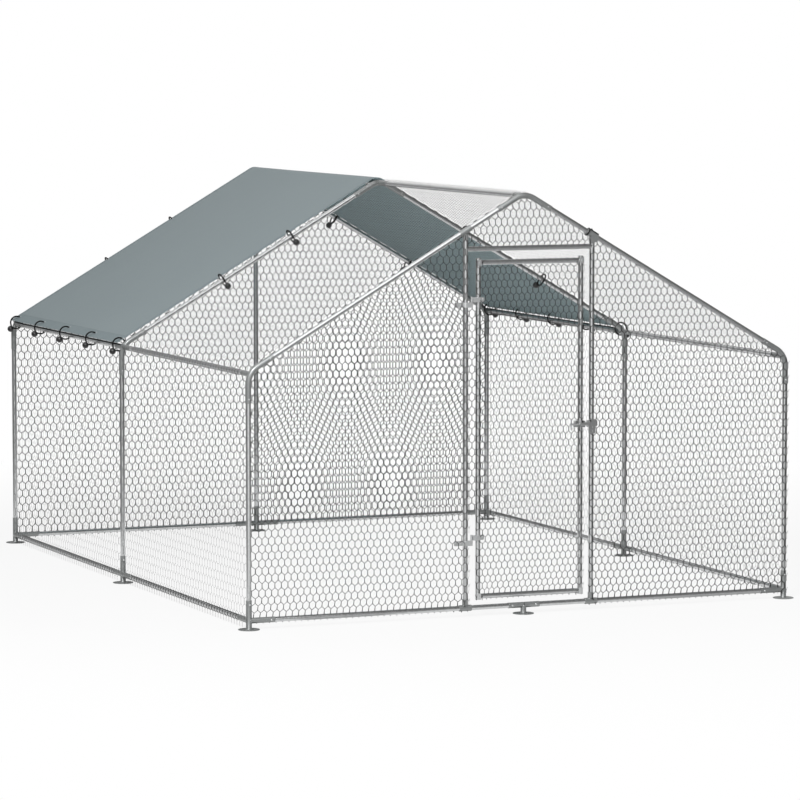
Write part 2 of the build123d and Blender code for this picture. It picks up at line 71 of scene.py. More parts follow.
# Weld round a foot's sleeve: heights on the disc, and how far out from the sleeve
DISC_WELD = [(0.0, 0.0035), (0.0012, 0.0016), (0.0034, 0.0)]
LIP = 0.0006
WELD_R = 0.0017
BROKEN, BLUNT = 0.0003, 0.0004  # broken edges of thin and of thicker steel
SCREW_IN = 0.020  # from a sleeve's mouth to its screw
ROUND = 32  # sides of every round tube

# Door
POST_X = {"left": -0.315, "right": 0.367}
STILE_X = {"left": -0.247, "right": 0.306}
HEADER_Z = 1.809
DOOR_TOP = 1.742
DOOR_FOOT = 0.099
STILE_TOP = 1.764
STILE_FOOT = 0.083
COPE = TUBE_R * 0.55  # from an upright's axis to the end of a rail that meets it
TEE_R = SLEEVE_R + 0.0012
TEE_HALF = 0.032
TEE_STUB = 0.044
TEE_SEAT = 0.025
TEE_ROOT = 0.0135
HINGE_X = -0.281
HINGE_ZS = (0.377, 1.548)
HINGE_ROOM = (0.031, 0.050, 0.029)  # about each hinge, half of the room that its leaves swing through
LATCH_Z = 0.931

# Netting
CELL_W = 0.033
ROW_PITCH = 0.036
WALL_CELL = 1.13
UPRIGHT = 0.0222
ROOF_UPRIGHT = 0.019
WIRE_R = 0.0017
TWIST_R = 0.0021
FLATNESS = 0.3
UNEVENNESS = 0.004
NET_OUT = 0.0156  # middle of the netting, outside the tubes' axes
# Shares of the radii, of the single wires and of the twists
GABLE_WIRE, TOP_WIRE, RIGHT_WIRE, REAR_WIRE = (1.06, 1.06), (1.2, 1.2), (1.3, 1.3), (1.4, 1.4)
WALL_WIRE, ROOF_WIRE = (0.5, 0.5), (0.40, 1.12)
# Edges of a panel: how far the ends gather, how deep they are drawn back, the width that lies behind a tube,
# and the width over which the netting leads there
TUCKED = (0.08, NET_OUT - 0.001, 0.0, 0.028)
BEHIND = (0.45, NET_OUT + TUBE_R + 0.003, 2 * TUBE_R + 0.003, 0.150)
OVER = (0.45, 0.0, 0.0, 0.028)
WRAPPED = (0.35, 0.0076, 0.0, 0.012)
HOLD = 2 * TUBE_R + 0.004  # width at a wrapped side that stays in front of the tubes
FADE = 0.060
PAST_RAIL = TUBE_R + 0.001
WALL_FOOT = 0.014
ROOF_LOW = 0.020
NO_LIMIT = 9.0

# Tarp and bungees
TARP_Y = (0.035, 1.862)
TARP_OUT = 0.0170
TARP_T = 0.0012
TARP_EAVE = 0.004
TARP_RIDGE_R = 0.060
HEM_W, EAVE_HEM_W = 0.030, 0.066
HEM_LIFT, HEM_T = TARP_T + 0.0001, 0.0009
# Radius of the black cord that stands in, as painted shade, for the shadow under the tarp's eave edges
PAINTED_SHADE_CORD_R = 0.0030
STITCH_STEP, STITCH_IN, SEAM_LIFT = 0.009, 0.004, TARP_T + 0.0010
LOOP_R, CAD_CORD, CORD_R = 0.036, 0.0045, 0.0041
LOOP_STEPS = 60
BALL_R = 0.016
BUNGEE_END = 0.048
RAFTER_BUNGEES = {"left": (0.39, 0.655), "right": (0.34, 0.66)}

SLOPE = atan2(RIDGE_Z - EAVE_Z, HALF)
TAN = tan(SLOPE)
RAFTER = HALF / cos(SLOPE)
FRAMES = {"front": -BAY, "mid": 0.0, "rear": BAY}
BAYS = [(-BAY, 0.0), (0.0, BAY)]
SIDES = {"left": -1, "right": 1}
UP, ALONG, ACROSS = Vector((0, 0, 1)), Vector((0, 1, 0)), Vector((1, 0, 0))


def up_slope(side):
    return Vector((-side * cos(SLOPE), 0, sin(SLOPE)))


def off_slope(side):
    return Vector((side * sin(SLOPE), 0, cos(SLOPE)))


def eave(side, y):
    return Vector((side * HALF, y, EAVE_Z))


def ridge(y):
    return Vector((0, y, RIDGE_Z))


def rail(x, y):
    return Vector((x, y, RAIL_Z))


def front(x, z):
    return Vector((x, -BAY, z))


def rafter_z(x):
    return RIDGE_Z - abs(x) * TAN


def bend(corner, arm_a, arm_b, steps=14):
    """Points and directions along the round bend between two arms that leave the corner."""
    turn = pi - arm_a.angle(arm_b)
    centre = corner + (arm_a + arm_b).normalized() * (BEND_R / cos(turn / 2))
    tangent = BEND_R * tan(turn / 2)
    first = corner + arm_a * tangent - centre
    last = corner + arm_b * tangent - centre
    found = []
    for k in range(steps + 1):
        angle = turn * k / steps
        spoke = (first * sin(turn - angle) + last * sin(angle)) / sin(turn)
        way = (-first * cos(turn - angle) + last * cos(angle)).normalized()
        found.append((centre + spoke, way))
    return found


def eave_middle(side, y):
    return bend(eave(side, y), -UP, up_slope(side), 2)[1][0]


def ridge_middle(y):
    return bend(ridge(y), -up_slope(-1), -up_slope(1), 2)[1][0]


def maths(operation, swapped=False):
    """Method of Link that adds one Math node, with its values swapped for a reflected operator."""

    def method(self, other=0.0):
        a, b = (other, self) if swapped else (self, other)
        return self.tree.node("ShaderNodeMath", {"operation": operation}, {0: a, 1: b})

    return method


class Link:
    """An output of a node, whose arithmetic adds Math nodes to its tree."""

    def __init__(self, tree, made, out=0):
        self.tree, self.made = tree, made
        self.socket = made.outputs[out] if made.outputs else None

    def of(self, out):
        return Link(self.tree, self.made, out)

    __add__, __radd__ = maths("ADD"), maths("ADD", True)
    __sub__, __rsub__ = maths("SUBTRACT"), maths("SUBTRACT", True)
    __mul__, __rmul__ = maths("MULTIPLY"), maths("MULTIPLY", True)
    __truediv__, __rtruediv__ = maths("DIVIDE"), maths("DIVIDE", True)
    __pow__, __mod__ = maths("POWER"), maths("MODULO")
    __gt__, __lt__ = maths("GREATER_THAN"), maths("LESS_THAN")
    least, most = maths("MINIMUM"), maths("MAXIMUM")
    floor, sine = maths("FLOOR"), maths("SINE")


def grey(value, tint=(1.0, 1.0, 1.0)):
    return (value * tint[0], value * tint[1], value * tint[2], 1)


class Tree:
    """A node tree that is written one node at a time: type, settings, then sockets."""

    def __init__(self, node_tree):
        self.nodes, self.links = node_tree.nodes, node_tree.links

    def node(self, kind, settings=None, sockets=None, out=0):
        made = self.nodes.new(kind)
        for key, value in (settings or {}).items():
            if key == "stops":
                for element, (place, shade) in zip(made.color_ramp.elements, value):
                    element.position, element.color = place, grey(shade)
            else:
                setattr(made, key, value)
        for key, value in (sockets or {}).items():
            for one in value if isinstance(value, list) else [value]:
                if isinstance(one, Link):
                    self.links.new(one.socket, made.inputs[key])
                else:
                    made.inputs[key].default_value = one
        return Link(self, made, out)

    def vector(self, x, y, z=0.0):
        return self.node("ShaderNodeCombineXYZ", None, {0: x, 1: y, 2: z})

    def split(self, vector):
        parts = self.node("ShaderNodeSeparateXYZ", None, {0: vector})
        return parts, parts.of(1), parts.of(2)

    def mix(self, factor, a, b):
        return self.node("ShaderNodeMix", {"data_type": "RGBA"}, {0: factor, 6: a, 7: b}, 2)

    def ramp(self, value, stops):
        return self.node("ShaderNodeValToRGB", {"stops": stops}, {0: value})

    def noise(self, where, scale, detail=2.0, rough=0.5):
        sockets = {"Vector": where, "Scale": scale, "Detail": detail, "Roughness": rough}
        return self.node("ShaderNodeTexNoise", None, sockets)

    def seen(self):
        """1 for the rays that meet plain white round the part, and 0 for those that light it."""
        path = self.node("ShaderNodeLightPath")
        return path.of("Is Camera Ray").most(path.of("Is Glossy Ray")).most(path.of("Is Transmission Ray"))


class Finish(Tree):
    """A material: constants go on the shader's own sockets, patterns through feed()."""

    def __init__(self, name, **constants):
        self.material = bpy.data.materials.new(name)
        self.material.use_nodes = True
        super().__init__(self.material.node_tree)
        self.shader = self.nodes["Principled BSDF"]
        for key, value in constants.items():
            self.shader.inputs[key.replace("_", " ")].default_value = value
        self.place = self.node("ShaderNodeTexCoord", None, None, "Object")

    def feed(self, **patterns):
        for key, value in patterns.items():
            self.links.new(value.socket, self.shader.inputs[key.replace("_", " ")])

    def bump(self, height, strength, distance):
        sockets = {"Height": height, "Strength": strength, "Distance": distance}
        self.feed(Normal=self.node("ShaderNodeBump", None, sockets))

    def grain(self, scale, detail=2.0, rough=0.5):
        return self.noise(self.place, scale, detail, rough)

    def tapes(self):
        """Fine crossed tapes of woven cloth, on the sheet's flat map."""
        u, v, _ = self.split(self.node("ShaderNodeUVMap", {"uv_map": "flat"}))
        return ((u * 2094.0).sine() * (v * 2094.0).sine()) * 0.5 + 0.5

    def done(self, tone, dark, light, rough=None):
        """The material, coloured from dark to light by the tone, with its roughness where that varies."""
        self.feed(Base_Color=self.mix(tone, dark, light))
        if rough:
            self.feed(Roughness=rough)
        return self.material


COOL = (0.985, 1.0, 1.005)
BLUISH = (0.965, 1.0, 0.995)


def zinc(name, dark, light, rough, metal=0.9, flake=95.0):
    """Galvanised steel: cool spangle in small flakes, drifting tone and a faintly uneven gloss."""
    f = Finish(name, Metallic=metal)
    flakes = f.node("ShaderNodeTexVoronoi", None, {"Vector": f.place, "Scale": flake}, "Color")
    spangle, second, third = f.split(flakes)
    drift, grain = f.grain(3.0, 3.0), f.grain(240.0, 3.0)
    tone = spangle * 0.45 + drift * 0.4 + grain * 0.15
    f.bump(third * 0.5 + grain, 0.10, 0.0004)
    return f.done(tone, grey(dark, COOL), grey(light, COOL), rough + second * 0.07 + drift * 0.05)


def sleeve_paint():
    """Matte grey coated fittings, slightly mottled, worn lighter by handling."""
    f = Finish("matte grey sleeve", Metallic=0.55)
    mottle = f.grain(38.0, 4.0, 0.6)
    wear = f.ramp(f.grain(11.0, 5.0, 0.65), [(0.52, 0.0), (0.70, 1.0)])
    coat = f.mix(mottle, grey(0.25, BLUISH), grey(0.31, BLUISH))
    f.bump(f.grain(900.0), 0.12, 0.0003)
    return f.done(wear * 0.35, coat, grey(0.40, BLUISH), 0.30 + mottle * 0.12 - wear * 0.06)


def netting_wire():
    f = Finish("dull galvanised wire", Metallic=0.25)
    drift, flecks = f.grain(5.0, 3.0), f.grain(420.0)
    return f.done(drift * 0.6 + flecks * 0.4, grey(0.018), grey(0.048), 0.52 + flecks * 0.15)


def tarp_cloth():
    """Coated woven sheet: fine crossed tapes, soft blotches and faint lengthwise creases; the underside gets
    a lighter copy of the colour as painted light against the shade under the tarp.
    """
    f = Finish("blue-grey coated cloth with painted light underside", Sheen_Weight=0.06, Sheen_Roughness=0.5, Specular_IOR_Level=0.25)
    tapes, blotch = f.tapes(), f.grain(1.6, 5.0, 0.6)
    drawn = f.node("ShaderNodeMapping", None, {"Vector": f.place, "Scale": (1.0, 6.0, 1.0)})
    crease = f.noise(drawn, 2.2, 4.0)
    cloth = f.mix(blotch, (0.214, 0.264, 0.279, 1), (0.262, 0.314, 0.328, 1))
    cloth = f.mix(tapes * 0.16 + crease * 0.10, cloth, (0.175, 0.215, 0.228, 1))
    # Underside colour: painted light, a lighter copy of the cloth's colour standing in for light that the
    # shade under the tarp holds back
    inside = f.mix(blotch, (0.372, 0.489, 0.513, 1), (0.427, 0.549, 0.572, 1))
    inner = f.node("ShaderNodeAttribute", {"attribute_name": "inner"}, None, "Fac")
    f.bump(tapes * 0.35 + crease, 0.18, 0.0012)
    return f.done(inner, cloth, inside, 0.56 + blotch * 0.12 - tapes * 0.05)


def hem_cloth():
    f = Finish("folded hem", Specular_IOR_Level=0.25)
    tapes, blotch = f.tapes(), f.grain(4.0, 4.0, 0.6)
    tone = tapes * 0.3 + blotch * 0.5
    f.bump(tapes + blotch, 0.16, 0.001)
    return f.done(tone, (0.235, 0.285, 0.300, 1), (0.190, 0.234, 0.248, 1), 0.58 + blotch * 0.12)


def thread():
    f = Finish("stitching thread", Roughness=0.8)
    return f.done(f.grain(600.0), grey(0.16, COOL), grey(0.30, COOL))


def elastic_cord():
    f = Finish("black braided elastic", Specular_IOR_Level=0.15)
    x, y, z = f.split(f.place)
    braid = ((x + z) * 3400.0).sine() * ((y - z) * 3400.0).sine() * 0.5 + 0.5
    f.bump(braid, 0.3, 0.0006)
    return f.done(braid, grey(0.002), grey(0.008), 0.55 + braid * 0.2)


def ball_plastic():
    f = Finish("black glossy plastic", Coat_Weight=0.3, Coat_Roughness=0.15)
    scuff = f.grain(160.0, 5.0, 0.7)
    f.bump(scuff, 0.05, 0.0005)
    return f.done(scuff, grey(0.003), grey(0.009), 0.20 + scuff * 0.22)


def black_steel():
    """Black-finished steel, rubbed a little lighter in patches."""
    f = Finish("blackened clamp steel", Metallic=0.2)
    rub = f.grain(240.0, 4.0, 0.6)
    return f.done(rub, grey(0.004), grey(0.014), 0.44 + rub * 0.2)


TUBE_STEEL = zinc("bright galvanised tube", 0.49, 0.67, 0.10)
SLEEVE = sleeve_paint()
WIRE = netting_wire()
STRAP_STEEL = zinc("zinc-plated strap", 0.58, 0.76, 0.30, 0.75, 160.0)
LATCH_STEEL = zinc("zinc-plated latch", 0.42, 0.58, 0.26, flake=160.0)
SCREW_STEEL = zinc("bright screw", 0.72, 0.90, 0.18, flake=300.0)
TARP = tarp_cloth()
HEM = hem_cloth()
THREAD = thread()
CORD = elastic_cord()
BALL = ball_plastic()
BLACK_STEEL = black_steel()
RING_METAL = zinc("pressed eyelet", 0.60, 0.80, 0.25, flake=260.0)


def plain_mesh(name, points, faces=()):
    mesh = bpy.data.meshes.new(name)
    mesh.from_pydata([tuple(p) for p in points], [], faces)
    return mesh


def finished(mesh, angle=38):
    """Turns a closed mesh's faces outwards and shades it smooth, apart from edges sharper than the angle."""
    work = bmesh.new()
    work.from_mesh(mesh)
    bmesh.ops.recalc_face_normals(work, faces=work.faces[:])
    work.to_mesh(mesh)
    work.free()
    mesh.shade_smooth()
    mesh.set_sharp_from_angle(angle=radians(angle))
    return mesh


def mouth(point, inward, radius, depth=INSERT):
    """Points and radii of a sleeve's mouth, from the bottom of its bore over the lip to the outside."""
    bore = [(depth, 0), (depth, BORE_R), (LIP, BORE_R)]
    lip = [(0, BORE_R + LIP), (0, radius - LIP), (LIP, radius)]
    return [(point + inward * z, r) for z, r in bore + lip]


class Shape:
    """Points and faces of one piece, gathered from closed shells."""

    def __init__(self):
        self.points, self.faces = [], []

    def ring(self, point, along, radius, across, sides):
        start = len(self.points)
        if radius == 0:
            self.points.append(point)
            return [start]
        a = (across - along * across.dot(along)).normalized()
        b = along.cross(a)
        for k in range(sides):
            angle = 2 * pi * k / sides
            self.points.append(point + (a * cos(angle) + b * sin(angle)) * radius)
        return list(range(start, start + sides))

    def join(self, first, second):
        count = max(len(first), len(second))
        for k in range(count):
            n = (k + 1) % count
            if len(first) == 1:
                self.faces.append((first[0], second[n], second[k]))
            elif len(second) == 1:
                self.faces.append((first[k], first[n], second[0]))
            else:
                self.faces.append((first[k], first[n], second[n], second[k]))

    def hose(self, stations, across, sides=ROUND, closed=False):
        """Skin through rings: point, direction, radius and, where it turns, the ring's own across."""
        rings = []
        for point, along, radius, *own in stations:
            rings.append(self.ring(point, along, radius, own[0] if own else across, sides))
        for first, second in zip(rings, rings[1:]):
            self.join(first, second)
        if closed:
            self.join(rings[-1], rings[0])

    def turned(self, place, way, profile, across, sides=ROUND, closed=False):
        """Round shape about a straight axis: a profile of distances along it and radii."""
        self.hose([(place + way * z, way, r) for z, r in profile], across, sides, closed)

    def bar(self, start, end, rim, sides, closed=False):
        """Round shape whose two ends have the same rim, given as distances inwards and radii."""
        span = end - start
        way = span.normalized()
        profile = rim + [(span.length - z, r) for z, r in rim[::-1]]
        self.turned(start, way, profile, way.orthogonal(), sides, closed)

    def tube(self, start, end, outer=TUBE_R, inner=TUBE_BORE, sides=ROUND, edge=BROKEN):
        """Open-ended tube with a thin wall and broken edges."""
        rim = [(edge, inner), (0, inner + edge), (0, outer - edge), (edge, outer)]
        self.bar(start, end, rim, sides, True)

    def rod(self, start, end, radius, edge=0.0006, sides=ROUND):
        self.bar(start, end, [(0, 0), (0, radius - edge), (edge, radius)], sides)

    def stub(self, root, outward, length):
        """Sleeve welded on to another at its root, with its mouth open."""
        stations = mouth(root + outward * length, -outward, STUB_R)
        stations += [(root + outward * STUB_ROOT, STUB_R), (root + outward * STUB_ROOT, 0)]
        self.hose([(p, outward, r) for p, r in stations], outward.orthogonal())

    def weld(self, centre, main, stub, main_r=SLEEVE_R, stub_r=STUB_R, steps=36):
        """Bead along the saddle where a stub meets a straight sleeve."""
        third = main.cross(stub)
        saddle = []
        for k in range(steps):
            angle = 2 * pi * k / steps
            spoke = main * cos(angle) + third * sin(angle)
            rise = sqrt(main_r**2 - (stub_r * sin(angle)) ** 2)
            saddle.append((centre + spoke * stub_r + stub * rise, spoke))
        stations = []
        for k, (point, spoke) in enumerate(saddle):
            way = (saddle[(k + 1) % steps][0] - saddle[k - 1][0]).normalized()
            stations.append((point, way, WELD_R * (1 + 0.12 * sin(9 * k)), spoke))
        self.hose(stations, ACROSS, 6, True)

    def plate(self, outline, place, a, b, thick, edge=BROKEN):
        """Flat plate with broken edges: an outline in the plane of a and b, its place mid-thickness."""
        middle = sum((Vector(p) for p in outline), Vector((0, 0))) / len(outline)
        normal = a.cross(b)
        half = thick / 2
        rings = []
        for rise, inset in ((-half, edge), (edge - half, 0), (half - edge, 0), (half, edge)):
            start = len(self.points)
            for p in outline:
                spoke = Vector(p) - middle
                u, v = middle + spoke * (1 - inset / spoke.length)
                self.points.append(place + a * u + b * v + normal * rise)
            rings.append(list(range(start, start + len(outline))))
        for first, second in zip(rings, rings[1:]):
            self.join(first, second)
        self.faces += [tuple(rings[0][::-1]), tuple(rings[-1])]

    def bolt(self, place, way, head, shank=0.0):
        """Pan-head bolt standing on a surface, with a nut on a shank behind where there is one."""
        flank = [(-0.0006, 0), (-0.0006, head), (0.0012, head)]
        crown = [(0.0024, head * 0.82), (0.0030, head * 0.45), (0.0031, 0)]
        self.turned(place, way, flank + crown, way.orthogonal(), 16)
        if shank:
            back = place - way * shank
            self.rod(back, place, 0.0022, sides=12)
            self.rod(back + way * 0.0010, back + way * 0.0045, head * 1.05, BLUNT, 6)

    def mesh(self, name):
        return finished(plain_mesh(name, self.points, self.faces))


def placed(name, data):
    made = bpy.data.objects.new(name, data)
    bpy.context.scene.collection.objects.link(made)
    return made


def piece(name, form, finish, nodes=(), body="frame"):
    """Puts a shape or mesh in the scene, on its body, in place of the nodes that it stands for."""
    mesh = form.mesh(name) if isinstance(form, Shape) else form
    mesh.materials.clear()
    mesh.materials.append(finish)
    made = placed(name, mesh)
    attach(made, body)
    if nodes:
        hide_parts(*nodes)
    return made


def tube_piece(node, *runs):
    shape = Shape()
    for start, end in runs:
        shape.tube(start, end)
    piece(node + "_tube", shape, TUBE_STEEL, [node], BODY_OF[node])


# Tubes of the gable frames, purlins and bottom rails
for name, y in FRAMES.items():
    for hand, side in SIDES.items():
        foot_seat = Vector((side * HALF, y, FOOT_TOP - INSERT))
        tube_piece(f"{name}_{hand}_post", (foot_seat, eave(side, y) - UP * (EAVE_ARM - INSERT)))
        low = eave(side, y) + up_slope(side) * (EAVE_ARM - INSERT)
        tube_piece(f"{name}_{hand}_rafter", (low, ridge(y) - up_slope(side) * (RIDGE_ARM - INSERT)))
centre_post = Vector((0, BAY, FOOT_TOP - INSERT))
tube_piece("rear_centre_post", (centre_post, ridge_middle(BAY) - UP * (CENTRE_ARM - INSERT)))
seat = ALONG * (PURLIN_ARM - INSERT)
inset = ALONG * (FOOT_ARM - INSERT)
for hand, side in SIDES.items():
    runs = [(eave_middle(side, a) + seat, eave_middle(side, b) - seat) for a, b in BAYS]
    tube_piece(f"{hand}_eave_purlins", *runs)
    runs = [(rail(side * HALF, a) + inset, rail(side * HALF, b) - inset) for a, b in BAYS]
    tube_piece(f"{hand}_bottom_rails", *runs)
tube_piece("ridge_purlins", *[(ridge_middle(a) + seat, ridge_middle(b) - seat) for a, b in BAYS])
for name, reach in (("front", FOOT_TEE_ARM), ("rear", FOOT_ARM)):
    outer, inner, y = HALF - FOOT_ARM + INSERT, reach - INSERT, FRAMES[name]
    tube_piece(f"{name}_bottom_rails", *[(rail(s * outer, y), rail(s * inner, y)) for s in (-1, 1)])

# Door posts, header and the door's own tubes
for hand, x in POST_X.items():
    tube_piece(f"{hand}_door_post", (front(x, RAIL_Z + TEE_SEAT), front(x, rafter_z(x) - TEE_SEAT)))
for hand, x in STILE_X.items():
    tube_piece(f"door_{hand}_stile", (front(x, STILE_FOOT), front(x, STILE_TOP)))
for node, xs, z in (
    ("door_header", POST_X, HEADER_Z),
    ("door_top_rail", STILE_X, DOOR_TOP),
    ("door_bottom_rail", STILE_X, DOOR_FOOT),
):
    tube_piece(node, (front(xs["left"] + COPE, z), front(xs["right"] - COPE, z)))


# Sleeve fittings
def elbow(shape, corner, arm_a, arm_b, reach, stubs):
    on_bend = bend(corner, arm_a, arm_b)
    stations = [(p, -arm_a, r) for p, r in mouth(corner + arm_a * reach, -arm_a, SLEEVE_R)]
    stations += [(p, way, SLEEVE_R) for p, way in on_bend]
    stations += [(p, arm_b, r) for p, r in mouth(corner + arm_b * reach, -arm_b, SLEEVE_R)[::-1]]
    shape.hose(stations, arm_a.cross(arm_b).normalized())
    middle, way = on_bend[len(on_bend) // 2]
    for outward, length in stubs:
        shape.stub(middle, outward, length)
        shape.weld(middle, way, outward)


def purlin_stubs(name):
    to_rear, to_front = (ALONG, PURLIN_ARM), (-ALONG, PURLIN_ARM)
    return {"front": [to_rear], "mid": [to_front, to_rear], "rear": [to_front]}[name]


def foot(shape, x, y, arms, reach=FOOT_ARM, post=True):
    """Round plate with a welded sleeve and an arm for each bottom rail."""
    rim = DISC_R - DISC_BEVEL
    profile = [(0, 0), (0, rim), (DISC_BEVEL, DISC_R), (DISC_T - DISC_BEVEL, DISC_R), (DISC_T, rim)]
    profile += [(DISC_T + z, SLEEVE_R + r) for z, r in DISC_WELD]
    if post:
        profile += [(p.z, r) for p, r in mouth(Vector((x, y, FOOT_TOP)), -UP, SLEEVE_R)[::-1]]
    else:
        profile += [(RAIL_Z, SLEEVE_R), (RAIL_Z, 0)]
    shape.turned(Vector((x, y, 0)), UP, profile, ACROSS)
    for outward in arms:
        shape.stub(rail(x, y), outward, reach)
        if post:
            shape.weld(rail(x, y), UP, outward)
    if not post:
        shape.weld(rail(x, y), ACROSS, -UP, STUB_R + 0.0002, SLEEVE_R - 0.0004)


def tee_clamp(shape, centre, run, stub):
    """Sleeve round a tube that runs through it, with a stub for the end of a door post."""
    shape.tube(centre - run * TEE_HALF, centre + run * TEE_HALF, TEE_R, BORE_R, edge=LIP)
    stations = mouth(centre + stub * TEE_STUB, -stub, SLEEVE_R, TEE_STUB - TEE_SEAT)
    stations += [(centre + stub * TEE_ROOT, SLEEVE_R), (centre + stub * TEE_ROOT, 0)]
    shape.hose([(p, stub, r) for p, r in stations], run.orthogonal())
    shape.weld(centre, (run - stub * run.dot(stub)).normalized(), stub, TEE_R, SLEEVE_R)


def sleeve_piece(node, shape):
    piece(node + "_sleeve", shape, SLEEVE, [node])


ridge_shape = Shape()
for name, y in FRAMES.items():
    shape = Shape()
    for side in SIDES.values():
        elbow(shape, eave(side, y), -UP, up_slope(side), EAVE_ARM, purlin_stubs(name))
    sleeve_piece(f"{name}_eave_elbows", shape)
    stubs = purlin_stubs(name) + ([(-UP, CENTRE_ARM)] if name == "rear" else [])
    elbow(ridge_shape, ridge(y), -up_slope(-1), -up_slope(1), RIDGE_ARM, stubs)
sleeve_piece("ridge_elbows", ridge_shape)

for node, feet in (
    ("front_corner_feet", [(s * HALF, -BAY, [-ACROSS * s, ALONG]) for s in (-1, 1)]),
    ("mid_side_feet", [(s * HALF, 0.0, [-ALONG, ALONG]) for s in (-1, 1)]),
    ("rear_corner_feet", [(s * HALF, BAY, [-ACROSS * s, -ALONG]) for s in (-1, 1)]),
    ("front_centre_foot", [(0, -BAY, [-ACROSS, ACROSS], FOOT_TEE_ARM, False)]),
    ("rear_centre_foot", [(0, BAY, [-ACROSS, ACROSS])]),
):
    shape = Shape()
    for one in feet:
        foot(shape, *one)
    sleeve_piece(node, shape)
shape = Shape()
for hand, x in POST_X.items():
    tee_clamp(shape, rail(x, -BAY), ACROSS, UP)
    tee_clamp(shape, front(x, rafter_z(x)), up_slope(SIDES[hand]), -UP)
clamp = front(POST_X["right"], rafter_z(POST_X["right"]))
cheek = [(-0.012, -0.038), (0.014, -0.038), (0.030, -0.027), (0.030, -0.008), (-0.012, 0.016)]
shape.plate(cheek, clamp - ALONG * (SLEEVE_R + 0.0020), ACROSS, UP, 0.0022)
sleeve_piece("door_post_clamps", shape)


# Geometry Nodes: a tree is built once, and each use sets its inputs
def node_tree(name, inputs):
    group = bpy.data.node_groups.new(name, "GeometryNodeTree")
    group.interface.new_socket(name="Geometry", in_out="INPUT", socket_type="NodeSocketGeometry")
    keys = {}
    for label, kind in inputs:
        socket = group.interface.new_socket(name=label, in_out="INPUT", socket_type="NodeSocket" + kind)
        keys[label] = socket.identifier
    group.interface.new_socket(name="Geometry", in_out="OUTPUT", socket_type="NodeSocketGeometry")
    tree = Tree(group)
    return group, keys, tree, tree.node("NodeGroupInput")


def grown(name, tree, values, mesh=None):
    """Evaluates a tree with these inputs and gives the result as a plain mesh."""
    group, keys = tree
    holder = placed(name, mesh or bpy.data.meshes.new(name + "_seed"))
    modifier = holder.modifiers.new("grow", "NODES")
    modifier.node_group = group
    for label, value in values.items():
        modifier[keys[label]] = value
    evaluated = holder.evaluated_get(bpy.context.evaluated_depsgraph_get())
    made = bpy.data.meshes.new_from_object(evaluated)
    holder.modifiers.remove(modifier)
    bpy.data.objects.remove(holder)
    made.name = name
    return made


SIZES = ("Width", "Left Height", "Right Height", "Top Height", "Slope")
CELL = ("Cell Width", "Row Pitch", "Upright", "Wire Radius", "Twist Radius", "Flatness", "Unevenness")
ENDS = ("Left", "Right", "Foot", "Head")
EDGE = ("Gather", "Depth", "Cover", "Reach")
HOLDS = ("Left Hold", "Right Hold")


